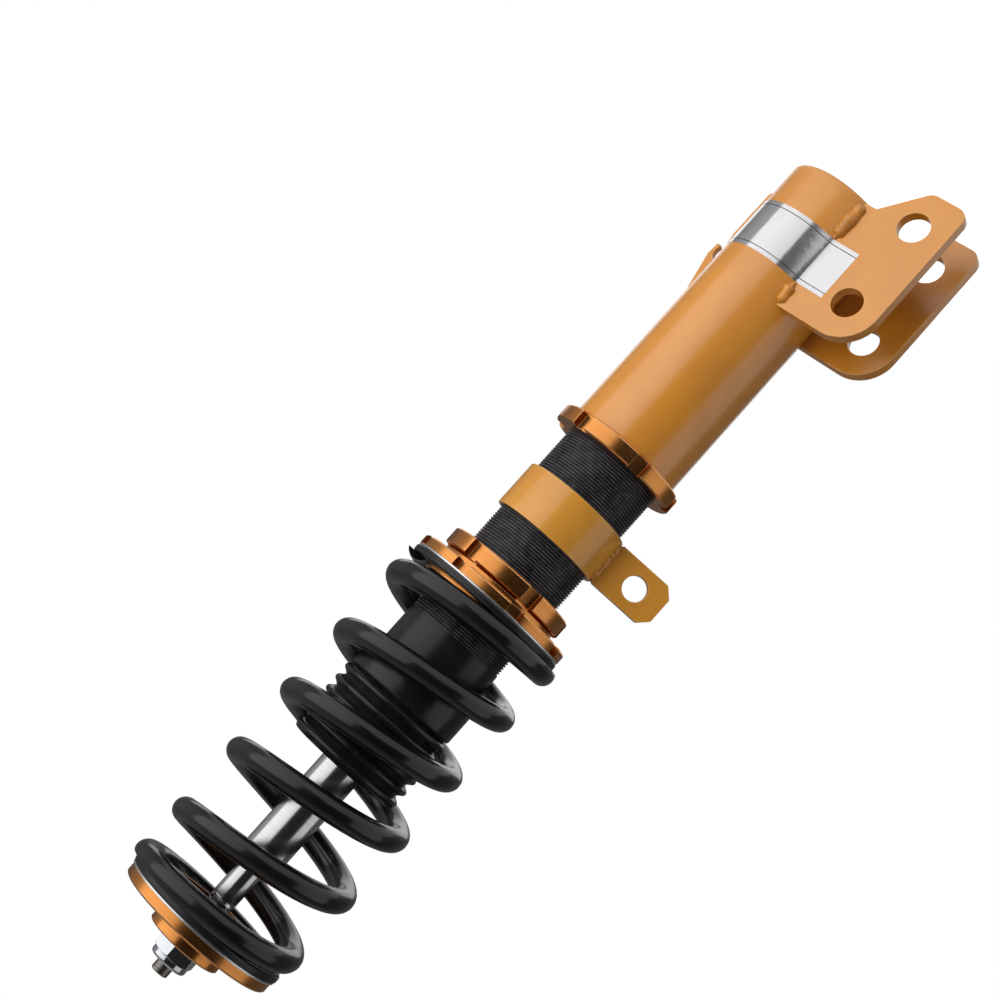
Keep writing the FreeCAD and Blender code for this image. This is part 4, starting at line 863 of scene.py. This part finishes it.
@dataclass
class Bracket:
    """The painted lower bracket: tube, plug, clevis ears, hose bracket, welds and label."""

    shop: Paintshop
    tube_radius: float = 30.0 * MM
    ear_outer: float = 21.0 * MM
    edge: float = 0.5 * MM
    bead_radius: float = 3.5 * MM
    fillet_radius: float = 1.55 * MM
    ripple: float = 2.6 * MM
    label_low: float = 25.0 * MM
    label_high: float = 52.6 * MM
    label_start: float = 37.9 * MM
    label_leaves: float = 50.0
    label_end: float = 186.0

    def build(self) -> None:
        """Makes every piece of the bracket."""
        for node, name, width in (
            ("lower_tube", "bracket_tube", 0.4 * MM),
            ("tube_base_plug", "bracket_plug", 0.4 * MM),
            ("clevis_ear_left", "bracket_ear_left", self.edge),
            ("clevis_ear_right", "bracket_ear_right", self.edge),
            ("hose_bracket", "bracket_hose_plate", 0.35 * MM),
        ):
            self.shop.mount(eased_copy(node, name, width), "bracket_paint", "bracket", node)
        self.shop.mount(self.beads(), "weld_paint", "bracket", "weld_beads")
        self.shop.mount(self.label(), "label_foil", "bracket")

    def beads(self) -> Object:
        """Rippled weld beads in the corners at the ears and the hose plate.

        Returns:
            The welds as one piece.
        """
        mesh = bmesh.new()
        corner = math.sqrt(self.tube_radius ** 2 - self.ear_outer ** 2)
        for side in (1.0, -1.0):
            place = (corner + 0.3 * MM, side * (self.ear_outer + 0.2 * MM))
            for low, high, radius in (
                (3.0, 23.5, self.bead_radius), (18.0, 25.2, self.fillet_radius),
                (52.4, 60.0, self.fillet_radius), (55.0, 66.0, 0.85 * self.bead_radius),
            ):
                self.bead(mesh, *place, low * MM, high * MM, radius)
        for turn in (190.4, 197.6):
            x = self.tube_radius * math.cos(math.radians(turn))
            y = self.tube_radius * math.sin(math.radians(turn))
            self.bead(mesh, x, y, 20.0 * MM, 73.0 * MM, 2.2 * MM)
        to_axis(mesh)
        return finish_mesh("bracket_welds", mesh, crease=60.0)

    def bead(self, mesh: BMesh, x: float, y: float, low: float, high: float,
             radius: float) -> None:
        """One upright bead, laid in overlapping drops.

        Args:
            mesh: where the bead goes.
            x: its place across.
            y: its place sideways.
            low: where it starts.
            high: where it ends.
            radius: its size.
        """
        steps = int((high - low) / (0.35 * MM))
        places = []
        for step in range(steps + 1):
            height = low + (high - low) * step / steps
            drop = abs(math.sin(math.pi * (height - low) / self.ripple))
            lump = noise.noise(Vector((x * 400.0, y * 400.0, height * 190.0)))
            close = min(1.0, math.sqrt(max(min(step, steps - step), 0.15) / 6.0))
            size = radius * close * (0.88 + 0.07 * drop + 0.34 * lump)
            sway = 0.8 * MM * noise.noise(Vector((height * 150.0, x * 90.0, y * 90.0)))
            at = Vector((x + sway, y - sway, height))
            places.append(ball(at, size))
        part = bmesh.new()
        sweep(part, places, 16)
        absorb(mesh, part)

    def label(self) -> Object:
        """The foil from the ear's face, over the weld and round the tube, left blank.

        Returns:
            The label.
        """
        film = 0.13 * MM
        face = self.ear_outer + film
        reach = self.tube_radius + film
        start = math.radians(self.label_leaves)
        tube = Vector((reach * math.cos(start), reach * math.sin(start)))
        ear = Vector((tube.x + 5.2 * MM, face))
        corner = Vector((tube.x + (tube.y - face) * math.tan(start), face))
        plan = [(self.label_start, face), (self.label_start - 5.0 * MM, face)]
        for step in range(8):
            share = step / 8
            at = ear * (1 - share) ** 2 + corner * 2 * share * (1 - share) + tube * share ** 2
            plan.append((at.x, at.y))
        steps = 50
        for step in range(steps + 1):
            turn = self.label_leaves + (self.label_end - self.label_leaves) * step / steps
            angle = math.radians(turn)
            plan.append((reach * math.cos(angle), reach * math.sin(angle)))
        mesh = bmesh.new()
        verts = [mesh.verts.new((x, y, self.label_low)) for x, y in plan]
        edges = [mesh.edges.new(pair) for pair in zip(verts, verts[1:])]
        length, lengths = 0.0, [0.0]
        for edge in edges:
            length += edge.calc_length()
            lengths.append(length)
        distance = {(round(v.co.x, 7), round(v.co.y, 7)): s for v, s in zip(verts, lengths)}
        grown = bmesh.ops.extrude_edge_only(mesh, edges=edges)["geom"]
        tops = only(grown, BMVert)
        bmesh.ops.translate(mesh, vec=(0, 0, self.label_high - self.label_low), verts=tops)
        paper = mesh.loops.layers.uv.new("foil")
        for flat in mesh.faces:
            for loop in flat.loops:
                at = loop.vert.co
                loop[paper].uv = (distance[(round(at.x, 7), round(at.y, 7))], at.z - self.label_low)
        bmesh.ops.recalc_face_normals(mesh, faces=mesh.faces)
        bmesh.ops.solidify(mesh, geom=mesh.faces[:], thickness=0.1 * MM)
        bmesh.ops.recalc_face_normals(mesh, faces=mesh.faces)
        to_axis(mesh)
        return finish_mesh("bracket_label", mesh)


@dataclass
class Rings:
    """The turned and anodised rings: both lock rings, the spring perch and the upper seat."""

    shop: Paintshop
    slot_corner: float = 1.1 * MM
    gap_chamfer: float = 0.85 * MM
    everywhere: float = 60.0 * MM
    ring_slot: Tuple[float, float] = (30.9 * MM, 4.1 * MM)
    perch_slot: Tuple[float, float] = (38.45 * MM, 4.2 * MM)
    ring_rim: float = 0.22 * MM
    seat_rim: float = 0.3 * MM
    # Where shade is painted on the seat, round the rod.
    painted_shade_reach: float = 35.2 * MM
    painted_shade_low: float = 440.0 * MM
    painted_shade_high: float = 461.5 * MM

    def build(self) -> None:
        """Makes the four of them, each on its own body."""
        rows = (
            ("lower_lock_ring", "ring_on_bracket", "lower_ring", self.ring_slot),
            ("spring_lock_ring", "ring_under_perch", "spring_ring", self.ring_slot),
            ("spring_perch", "perch_turned", "perch", self.perch_slot),
        )
        for node, name, body, slot in rows:
            corners = upright_at(math.hypot(*slot))
            piece = eased_copy(node, name, self.ring_rim, 2, (self.slot_corner, corners))
            if node == "spring_lock_ring":
                top = max(corner.co.z for corner in piece.data.vertices)
                # Painted shade on the ring's top chamfer and end face, under the perch.
                paint_hollow_shade(piece, self.everywhere, top - self.gap_chamfer, top + MM)
            self.shop.mount(piece, "anodised_copper", body, node)
        seat = eased_copy("upper_spring_seat", "seat_turned", self.seat_rim, 2)
        # Painted shade on the seat's faces round the rod's stub, between two heights.
        paint_hollow_shade(seat, self.painted_shade_reach, self.painted_shade_low, self.painted_shade_high)
        self.shop.mount(seat, "anodised_copper", "upper_seat", "upper_spring_seat")


@dataclass
class LinkBand:
    """The clamped band with its link tab, bolt, nut and the small welds at the tab's root."""

    shop: Paintshop
    tab_turn: float = -34.0
    tab_half: float = 3.0 * MM
    band_radius: float = 28.95 * MM
    low: float = 199.0 * MM
    high: float = 219.5 * MM

    def build(self) -> None:
        """Makes the band and what is on it."""
        for node, name, finish, width in (
            ("link_band", "band_strip", "band_paint", 0.38 * MM),
            ("band_bolt", "band_clamp_bolt", "bright_zinc", 0.3 * MM),
            ("band_nut", "band_clamp_nut", "bright_zinc", 0.3 * MM),
        ):
            self.shop.mount(eased_copy(node, name, width), finish, "band", node)
        self.shop.mount(self.welds(), "band_paint", "band")

    def welds(self) -> Object:
        """A thin uneven bead down each side of the tab's root.

        Returns:
            Both beads as one piece.
        """
        mesh = bmesh.new()
        for side in (1.0, -1.0):
            turn = math.radians(self.tab_turn) + side * math.asin(self.tab_half / self.band_radius)
            places = []
            steps = 56
            for step in range(steps + 1):
                height = self.low + (self.high - self.low) * step / steps
                end = min(1.0, math.sqrt(max(min(step, steps - step), 0.2) / 5.0))
                lump = noise.noise(Vector((side * 9.0, height * 700.0, 3.0)))
                size = 1.7 * MM * end * (0.9 + 0.5 * lump)
                x, y = self.band_radius * math.cos(turn), self.band_radius * math.sin(turn)
                places.append(ball(Vector((x, y, height)), size))
            part = bmesh.new()
            sweep(part, places, 12)
            absorb(mesh, part)
        to_axis(mesh)
        return finish_mesh("band_tab_welds", mesh, crease=60.0)


@dataclass
class Damper:
    """The threaded damper body and the rubber boot on its top."""

    shop: Paintshop
    radius: float = 26.5 * MM
    bore: float = 23.5 * MM
    bottom: float = 60.0 * MM
    top: float = 322.0 * MM
    thread_low: float = 138.0 * MM
    thread_high: float = 287.0 * MM
    pitch: float = 1.5 * MM
    boot_low: float = 306.0 * MM
    boot_shoulder: float = 324.0 * MM
    boot_top: float = 364.5 * MM
    skirt: float = 30.0 * MM
    crest: float = 31.15 * MM
    valley: float = 28.0 * MM
    ribs: int = 6
    rod_lip: float = 11.3 * MM

    def build(self) -> None:
        """Makes both pieces."""
        self.shop.mount(self.body(), "thread_black", "damper", "damper_body")
        self.shop.mount(self.boot(), "rubber_black", "damper", "dust_boot")

    def body(self) -> Object:
        """The tube: plain below, threaded in the middle, smooth on top.

        Returns:
            The body.
        """
        mesh = bmesh.new()
        ScrewThread(
            self.radius - 0.04 * MM, 0.86 * MM, self.pitch, self.thread_low, self.thread_high,
            self.bore).cut(mesh)
        for low, high, lead in (
            (self.bottom, self.thread_low + 3.0 * MM, 0.5 * MM),
            (self.thread_high - 3.0 * MM, self.top, 0.9 * MM),
        ):
            part = bmesh.new()
            inner = self.bore + 0.05 * MM
            lathe(part, [
                (inner, low), (self.radius - lead, low), (self.radius, low + lead),
                (self.radius, high - lead), (self.radius - lead, high), (inner, high),
            ])
            absorb(mesh, part)
        to_axis(mesh)
        return finish_mesh("damper_threaded_body", mesh, crease=24.0, flats=True)

    def boot(self) -> Object:
        """A smooth skirt with rolled ribs above it and a lip round the rod.

        Returns:
            The boot.
        """
        bore = self.radius + 0.02 * MM
        points: List[Tuple[float, float]] = [
            (bore, self.boot_low), (self.skirt - 1.0 * MM, self.boot_low),
            (self.skirt - 0.3 * MM, self.boot_low + 0.3 * MM),
            (self.skirt, self.boot_low + 1.0 * MM), (self.skirt, self.boot_shoulder - 1.2 * MM),
            (self.skirt - 0.4 * MM, self.boot_shoulder - 0.4 * MM),
            (self.skirt - 1.2 * MM, self.boot_shoulder),
        ]
        samples, cut_off = 14, 0.72
        rib_width, rib_power, foot = 0.68, 3.2, 0.2255
        pitch = (self.boot_top - self.boot_shoulder) / self.ribs
        for rib in range(self.ribs):
            last = rib == self.ribs - 1
            for step in range(samples + 1):
                share = step / samples
                if last and share > cut_off:
                    break
                bell = 1.0 / (1.0 + (abs(2.0 * share - 1.0) / rib_width) ** rib_power)
                bulge = (bell - foot) / (1.0 - foot)
                height = self.boot_shoulder + pitch * (rib + share)
                if step == 0 and rib:
                    continue
                points.append((self.valley + (self.crest - self.valley) * bulge, height))
        points.append((self.crest - 1.6 * MM, self.boot_top - 0.35 * MM))
        points.append((self.crest - 3.0 * MM, self.boot_top))
        inner = self.valley - 1.7 * MM
        points += [
            (self.rod_lip + 0.5 * MM, self.boot_top), (self.rod_lip, self.boot_top - 0.5 * MM),
            (self.rod_lip, self.boot_top - 1.8 * MM), (inner, self.boot_top - 1.8 * MM),
            (inner, self.top + 1.0 * MM), (bore, self.top + 0.2 * MM),
        ]
        mesh = bmesh.new()
        lathe(mesh, points)
        to_axis(mesh)
        return finish_mesh("boot_ribbed", mesh, crease=50.0)


@dataclass
class MainSpring:
    """The coil spring: round wire, closed and ground at both ends.

    The wire's line is the CAD's. Between the closed ends the coils close up in step with the rod,
    so that the wire stays round and the end coils stay on their pads.
    """

    shop: Paintshop
    low: float = 265.6 * MM
    high: float = 455.8 * MM
    wire: float = 6.15 * MM
    coil: float = 41.35 * MM
    turns: float = 6.4
    start: float = 146.0
    closed: float = 0.65
    opening: float = 0.40
    ground: float = 0.75
    steps_per_turn: int = 60
    sides: int = 28

    def rise(self, turns: float, steady: float) -> float:
        """Height of the wire above its lower tip after so many turns, up to the middle.

        Args:
            turns: turns from the tip.
            steady: rise of a turn in the middle.

        Returns:
            The height above the tip.
        """
        thick = 2 * self.wire
        height = thick * min(turns, self.closed)
        if turns > self.closed:
            into = min(turns - self.closed, self.opening)
            height += thick * into + (steady - thick) * into * into / (2 * self.opening)
        if turns > self.closed + self.opening:
            height += steady * (turns - self.closed - self.opening)
        return height

    def height(self, turns: float) -> float:
        """Height of the wire's middle after so many turns, the upper half a mirror of the lower.

        Args:
            turns: turns from the lower tip.

        Returns:
            The height of the middle of the wire.
        """
        thick = 2 * self.wire
        sunk = thick * self.ground - self.wire
        low, high = self.low - sunk, self.high + sunk
        closed = thick * (self.closed + self.opening / 2)
        steady = ((high - low) / 2 - closed) / (self.turns / 2 - self.closed - self.opening / 2)
        if turns > self.turns / 2:
            return high - self.rise(self.turns - turns, steady)
        return low + self.rise(turns, steady)

    def point(self, turns: float) -> Vector:
        """The wire's middle after so many turns, about the strut's axis.

        Args:
            turns: turns from the lower tip.

        Returns:
            The place.
        """
        angle = math.radians(self.start) + FULL_TURN * turns
        x, y = self.coil * math.cos(angle), self.coil * math.sin(angle)
        return Vector((x, y, self.height(turns)))

    def share(self, turns: float) -> float:
        """How much of the rod's travel a place on the wire takes: none below, all above.

        Args:
            turns: turns from the lower tip.

        Returns:
            A share from 0 to 1.
        """
        first, last = self.closed, self.turns - self.closed
        held = min(max(turns, first), last)

        def spare(at: float) -> float:
            """Room between coils up to this place."""
            return self.height(at) - self.height(first) - 2 * self.wire * (at - first)

        return spare(held) / spare(last)

    def build(self) -> None:
        """Makes the spring and lets it close up between its two seats."""
        mesh = bmesh.new()
        count = int(self.turns * self.steps_per_turn)
        turns = [self.turns * step / count for step in range(count + 1)]
        nudge = 1e-4
        places = []
        for at in turns:
            ahead, behind = min(at + nudge, self.turns), max(at - nudge, 0.0)
            along = self.point(ahead) - self.point(behind)
            places.append(section(self.point(at), along, self.wire))
        sweep(mesh, places, self.sides, [self.share(at) for at in turns], "wire_share")
        for height, way in ((self.low, -1.0), (self.high, 1.0)):
            slice_off(mesh, (0, 0, height), (0, 0, way))
        to_axis(mesh)
        piece = finish_mesh("spring_coils", mesh, crease=40.0)
        shares = [0.0] * len(piece.data.vertices)
        piece.data.attributes["wire_share"].data.foreach_get("value", shares)
        self.shop.coat(piece, "spring_black")
        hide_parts("main_spring")
        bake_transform(piece, "spring_base", "rod", start=(AXIS_X, 0, self.low), end=(AXIS_X, 0, self.high))
        piece.data.attributes["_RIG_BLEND"].data.foreach_set("value", shares)
        LOG.info("%s closes up between spring_base and rod", piece.name)


@dataclass
class SpringSeats:
    """The slip washers and pads at both ends of the spring."""

    shop: Paintshop

    def build(self) -> None:
        """Makes the four flat rings."""
        rows = (
            ("lower_slip_washer", "washer_low", "spring_base", "bright_washer", 0.2 * MM),
            ("lower_spring_pad", "pad_low", "spring_base", "pad_black", 0.9 * MM),
            ("upper_spring_pad", "pad_high", "rod", "pad_black", 0.9 * MM),
            ("upper_slip_washer", "washer_high", "rod", "bright_washer", 0.2 * MM),
        )
        for node, name, body, finish, width in rows:
            self.shop.mount(eased_copy(node, name, width, 3), finish, body, node)


@dataclass
class TopEnd:
    """The rod, its thread, the lock nut with its insert and the adjuster."""

    shop: Paintshop
    stub_radius: float = 6.6 * MM
    groove_radius: float = 5.9 * MM
    groove_step: float = 0.3 * MM
    grooves: Tuple[float, ...] = (445.9 * MM, 447.5 * MM)
    stud_low: float = 448.6 * MM
    stud_high: float = 460.6 * MM
    nut_low: float = 474.5 * MM
    nut_high: float = 482.2 * MM
    collar_high: float = 485.6 * MM
    nut_corner: float = 11.4 * MM
    collar: float = 9.8 * MM
    insert: float = 8.1 * MM
    nut_turn: float = 39.0

    def build(self) -> None:
        """Makes the pieces at the top of the rod."""
        self.shop.mount(self.rod(), "hard_chrome", "rod", "piston_rod")
        self.shop.mount(self.tip(), "tool_steel", "rod")
        self.shop.mount(self.nut(), "bright_zinc", "rod", "top_lock_nut")

    def rod(self) -> Object:
        """The rod as it is in the CAD, with eased edges and a thread near the seat.

        Returns:
            The rod.
        """
        mesh = merged_copy("piston_rod")
        ease_edges(mesh, 0.25 * MM, 2, is_sharp)
        for groove in self.grooves:
            for step in range(4):
                cut = bmesh.ops.bisect_plane(
                    mesh, geom=whole(mesh), dist=CUT,
                    plane_co=(0, 0, groove + self.groove_step * step), plane_no=(0, 0, 1))
                if step in (1, 2):
                    self.sink(only(cut["geom_cut"], BMVert))
        part = bmesh.new()
        ScrewThread(
            6.5 * MM, 0.6 * MM, 1.25 * MM, self.stud_low, self.stud_high, 5.6 * MM, 48).cut(part)
        to_axis(part)
        absorb(mesh, part)
        return finish_mesh("rod_chromed", mesh, crease=24.0, flats=True)

    def sink(self, verts: Sequence[BMVert]) -> None:
        """Moves the points on the stub's skin in to the floor of a groove.

        Args:
            verts: the points of one cut.
        """
        for vert in verts:
            away = math.hypot(vert.co.x - AXIS_X, vert.co.y)
            if away > self.stub_radius - 0.1 * MM:
                vert.co.x = AXIS_X + (vert.co.x - AXIS_X) * self.groove_radius / away
                vert.co.y *= self.groove_radius / away

    def tip(self) -> Object:
        """The bare steel end above the nut, as a thin sleeve over the rod's tip.

        Returns:
            The sleeve.
        """
        low, high = self.collar_high - 1.2 * MM, 491.3 * MM
        outer, inner = 4.5 * MM, 2.66 * MM
        skin = 0.02 * MM
        mesh = bmesh.new()
        lathe(mesh, [
            (inner, low), (outer + skin, low), (outer + skin, high - 0.62 * MM),
            (outer - 0.25 * MM, high - 0.2 * MM), (outer - 0.6 * MM, high), (inner, high),
        ], steps=48)
        to_axis(mesh)
        return finish_mesh("rod_steel_tip", mesh, crease=50.0, flats=True)

    def nut(self) -> Object:
        """A hexagon with chamfered corners under a rolled collar.

        Returns:
            The nut.
        """
        mesh = bmesh.new()
        turn = Matrix.Rotation(math.radians(self.nut_turn), 4, "Z")
        place = Matrix.Translation((0, 0, self.nut_low)) @ turn
        bmesh.ops.create_circle(
            mesh, cap_ends=True, segments=6, radius=self.nut_corner, matrix=place)
        grown = bmesh.ops.extrude_face_region(mesh, geom=mesh.faces[:])["geom"]
        tops = only(grown, BMVert)
        bmesh.ops.translate(mesh, vec=(0, 0, self.nut_high - self.nut_low), verts=tops)
        bmesh.ops.recalc_face_normals(mesh, faces=mesh.faces)
        flat = self.nut_corner * math.cos(math.radians(30.0))
        slope, planes, inward = math.radians(28.0), 60, 0.97
        for end, way in ((self.nut_low, -1.0), (self.nut_high, 1.0)):
            for step in range(planes):
                angle = FULL_TURN * step / planes
                out = Vector((math.cos(angle), math.sin(angle), 0.0))
                normal = out * math.sin(slope) + Vector((0, 0, way * math.cos(slope)))
                slice_off(mesh, out * flat * inward + Vector((0, 0, end)), normal)
        bmesh.ops.remove_doubles(mesh, verts=mesh.verts, dist=MERGE)
        ease_edges(mesh, 0.16 * MM, 2, is_sharp)
        part = bmesh.new()
        low, high = self.nut_high - 0.5 * MM, self.collar_high
        inside, roll, step_down = 6.1 * MM, 1.5 * MM, high - 0.7 * MM
        outline = [(inside, low), (self.collar, low)]
        for degrees in (90, 72, 54, 36, 18, 0):
            angle = math.radians(degrees)
            outline.append((
                self.collar - roll * (1 - math.sin(angle)), high - roll * (1 - math.cos(angle))))
        outline += [
            (self.insert + 0.1 * MM, high), (self.insert - 0.5 * MM, step_down), (inside, step_down)]
        lathe(part, outline, steps=64)
        absorb(mesh, part)
        to_axis(mesh)
        return finish_mesh("nut_locking", mesh, crease=26.0, flats=True)


INNER_FINISHES: Dict[str, str] = {
    "damper_end_cap": "tool_steel",
    "base_valve": "sintered_iron",
    "pressure_cylinder": "tool_steel",
    "rod_guide": "sintered_iron",
    "rod_bushing": "bronze_liner",
    "oil_seal": "seal_rubber",
    "gland_nut": "damper_black",
    "bump_stop": "rubber_black",
    "nut_insert": "white_nylon",
    "adjuster_spindle": "tool_steel",
    "rebound_stop": "tool_steel",
    "rebound_shims": "bright_washer",
    "piston": "sintered_iron",
    "piston_band": "bronze_liner",
    "compression_shims": "bright_washer",
    "piston_nut": "bright_zinc",
}


@dataclass
class InnerParts:
    """The pieces inside the damper and the nut, which keep their CAD shapes."""

    shop: Paintshop

    def dress(self) -> None:
        """Gives each its finish."""
        for node, finish in INNER_FINISHES.items():
            self.shop.coat(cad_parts[node], finish)
            LOG.info("%s keeps its shape, in %s", node, finish)


# ---------------------------------------------------------------- studio


@dataclass
class Studio:
    """Camera, soft lights, pale floor and white surroundings.

    The camera's place was fitted to the photograph's circles and outlines: where the strut's axis
    crosses the clevis plane and which way it runs, seen from the camera with x right, y down and
    z away.
    """

    lens: float = 72.62
    sensor: float = 36.0
    foot: Tuple[float, float, float] = (168.121 * MM, -143.791 * MM, 988.012 * MM)
    axis: Tuple[float, float, float] = (-0.665446, 0.739390, -0.102390)
    turn: float = -146.0
    floor_height: float = -0.30
    floor_half: float = 0.9
    ambient: float = 0.24
    middle: Vector = field(default_factory=lambda: Vector((AXIS_X, 0.0, 0.235)))

    def build(self) -> None:
        """Sets up everything that isn't the strut."""
        view = self.camera()
        self.lights(view)
        self.floor()
        self.surroundings(view)
        bpy.context.scene.view_settings.view_transform = "Standard"

    def camera(self) -> Matrix:
        """Places the camera.

        Returns:
            Its turn, whose columns are its right, up and back.
        """
        along = Vector(self.axis).normalized()
        right = Vector((-along.y, along.x, 0.0)).normalized()
        away = along.cross(right)
        angle = math.radians(self.turn)
        quarter = math.radians(90.0)
        x_axis = right * math.cos(angle) + away * math.sin(angle)
        y_axis = right * math.cos(angle + quarter) + away * math.sin(angle + quarter)
        seen = Matrix((x_axis, y_axis, along)).transposed()
        offset = Vector(self.foot) - x_axis * AXIS_X
        back_turn = seen.transposed()
        flip = Matrix(((1, 0, 0), (0, -1, 0), (0, 0, -1)))
        turn = back_turn @ flip
        data = bpy.data.cameras.new("camera")
        data.lens = self.lens
        data.sensor_width = self.sensor
        camera = bpy.data.objects.new("camera", data)
        camera.matrix_world = Matrix.Translation(-(back_turn @ offset)) @ turn.to_4x4()
        bpy.context.scene.collection.objects.link(camera)
        bpy.context.scene.camera = camera
        return turn

    def panel(self, name: str, way: Vector, distance: float, wide: float, tall: float,
              glow: float, up: Vector) -> Object:
        """Hangs a soft panel that faces the strut.

        Args:
            name: the light's name.
            way: from the strut towards the panel.
            distance: how far away it hangs.
            wide: its side across the strut.
            tall: its side along the strut.
            glow: how bright its face looks, where 1 is white.
            up: the way its long side runs.

        Returns:
            The light.
        """
        data = bpy.data.lights.new(name, "AREA")
        data.shape = "RECTANGLE"
        data.size, data.size_y = wide, tall
        data.energy = glow * math.pi * wide * tall
        light = bpy.data.objects.new(name, data)
        back = way.normalized()
        long = (up - up.project(back)).normalized()
        side = long.cross(back)
        turn = Matrix((side, long, back)).transposed().to_4x4()
        light.matrix_world = Matrix.Translation(self.middle + back * distance) @ turn
        light.visible_camera = False
        bpy.context.scene.collection.objects.link(light)
        return light

    def lights(self, view: Matrix) -> None:
        """The panels round the strut, and two soft lamps that only light matt colour.

        Args:
            view: the camera's turn.
        """
        across, facing = self.sides(view)
        strut = Vector((0.0, 0.0, 1.0))
        for name, degrees, tilt, distance, wide, tall, glow, glossy in (
            ("key_panel", 60.0, 0.0, 1.35, 2.0, 1.7, 0.92, True),
            ("side_panel", -72.0, -7.0, 1.35, 1.15, 1.7, 0.58, True),
            ("end_panel", 48.0, -58.0, 1.4, 0.7, 0.5, 0.8, True),
            ("back_panel", 178.0, -24.0, 1.7, 1.8, 0.75, 1.0, True),
            ("matt_lamp", 52.0, 0.0, 1.6, 1.4, 1.4, 3.1, False),
            ("back_lamp", 180.0, 0.0, 1.6, 1.4, 1.4, 1.3, False),
        ):
            angle, lift = math.radians(degrees), math.radians(tilt)
            flat = facing * math.cos(angle) + across * math.sin(angle)
            way = flat * math.cos(lift) + strut * math.sin(lift)
            self.panel(name, way, distance, wide, tall, glow, strut).visible_glossy = glossy

    def sides(self, view: Matrix) -> Tuple[Vector, Vector]:
        """The level ways from the strut to the picture's upper left and to the camera.

        Args:
            view: the camera's turn.

        Returns:
            The way across and the way to the camera.
        """
        right, up, back = (view.col[i].copy() for i in range(3))
        strut = Vector((0.0, 0.0, 1.0))
        across = right * -0.743 + up * 0.669
        across = (across - across.project(strut)).normalized()
        facing = (back - back.project(strut)).normalized()
        return across, facing

    def floor(self) -> None:
        """A pale floor that turns white to the camera and keeps a soft shadow."""
        mesh = bmesh.new()
        bmesh.ops.create_grid(mesh, x_segments=8, y_segments=8, size=self.floor_half)
        bmesh.ops.translate(mesh, vec=(0, 0, self.floor_height), verts=mesh.verts)
        piece = finish_mesh("floor", mesh)
        material, graph = open_material("floor_white")
        path = graph.add("ShaderNodeLightPath")
        mirrored = graph.math("MULTIPLY", path.outputs["Is Glossy Ray"], 0.3)
        direct = graph.math("ADD", path.outputs["Is Camera Ray"], path.outputs["Is Transmission Ray"])
        shown = graph.math("ADD", direct, mirrored)
        matt = graph.add("ShaderNodeBsdfDiffuse", {"Color": (0.82, 0.82, 0.82, 1.0)})
        glow = graph.add("ShaderNodeEmission", {"Strength": graph.math("MULTIPLY", shown, 0.76)})
        lit = graph.add("ShaderNodeAddShader", {0: matt.outputs[0], 1: glow.outputs[0]})
        clear = graph.add("ShaderNodeBsdfTransparent")
        behind = graph.add("ShaderNodeNewGeometry").outputs["Backfacing"]
        both = graph.add("ShaderNodeMixShader", {0: behind, 1: lit.outputs[0], 2: clear.outputs[0]})
        graph.add("ShaderNodeOutputMaterial", {"Surface": both.outputs[0]})
        piece.data.materials.append(material)

    def surroundings(self, view: Matrix) -> None:
        """A white surround, which gloss sees dim on the near side, as a dark studio would be.

        Args:
            view: the camera's turn.
        """
        world = bpy.data.worlds.new("studio")
        world.use_nodes = True
        bpy.context.scene.world = world
        graph = Graph(world.node_tree)
        path = graph.add("ShaderNodeLightPath")
        way = graph.add("ShaderNodeTexCoord").outputs["Generated"]
        across, facing = self.sides(view)
        toward, aside = (
            graph.add("ShaderNodeVectorMath", {0: way, 1: side}, operation="DOT_PRODUCT")
            .outputs["Value"] for side in (facing, across))
        behind = graph.spread(toward, -0.9, 0.35, 0.11, 0.015)
        left = graph.spread(aside, 0.5, 0.97, 0.0, 0.28)
        height = graph.add("ShaderNodeSeparateXYZ", {0: way}).outputs[2]
        overhead = graph.spread(height, 0.45, 0.95, 0.0, 0.3)
        gloss = graph.math("ADD", graph.math("ADD", behind, left), overhead)
        white = graph.math("ADD", path.outputs["Is Camera Ray"], path.outputs["Is Transmission Ray"])
        matt = graph.math("SUBTRACT", 1.0, path.outputs["Is Glossy Ray"])
        soft = graph.math("MULTIPLY", matt, self.ambient)
        seen = graph.math("MULTIPLY", path.outputs["Is Glossy Ray"], gloss)
        dim = graph.math("ADD", soft, seen)
        strength = graph.math("MAXIMUM", dim, graph.math("MINIMUM", white, 1.0))
        ground = graph.add(
            "ShaderNodeBackground", {"Color": (1.0, 1.0, 1.0, 1.0), "Strength": strength})
        graph.add("ShaderNodeOutputWorld", {"Surface": ground.outputs[0]})


def main() -> None:
    """Builds the strut's looks, piece by piece, and the studio round it."""
    logging.basicConfig(level=logging.INFO, format="%(name)s: %(message)s")
    shop = Paintshop()
    Studio().build()
    for assembly in (Bracket, Rings, LinkBand, Damper, MainSpring, SpringSeats, TopEnd):
        assembly(shop).build()
    InnerParts(shop).dress()


if __name__ == "__main__":
    main()
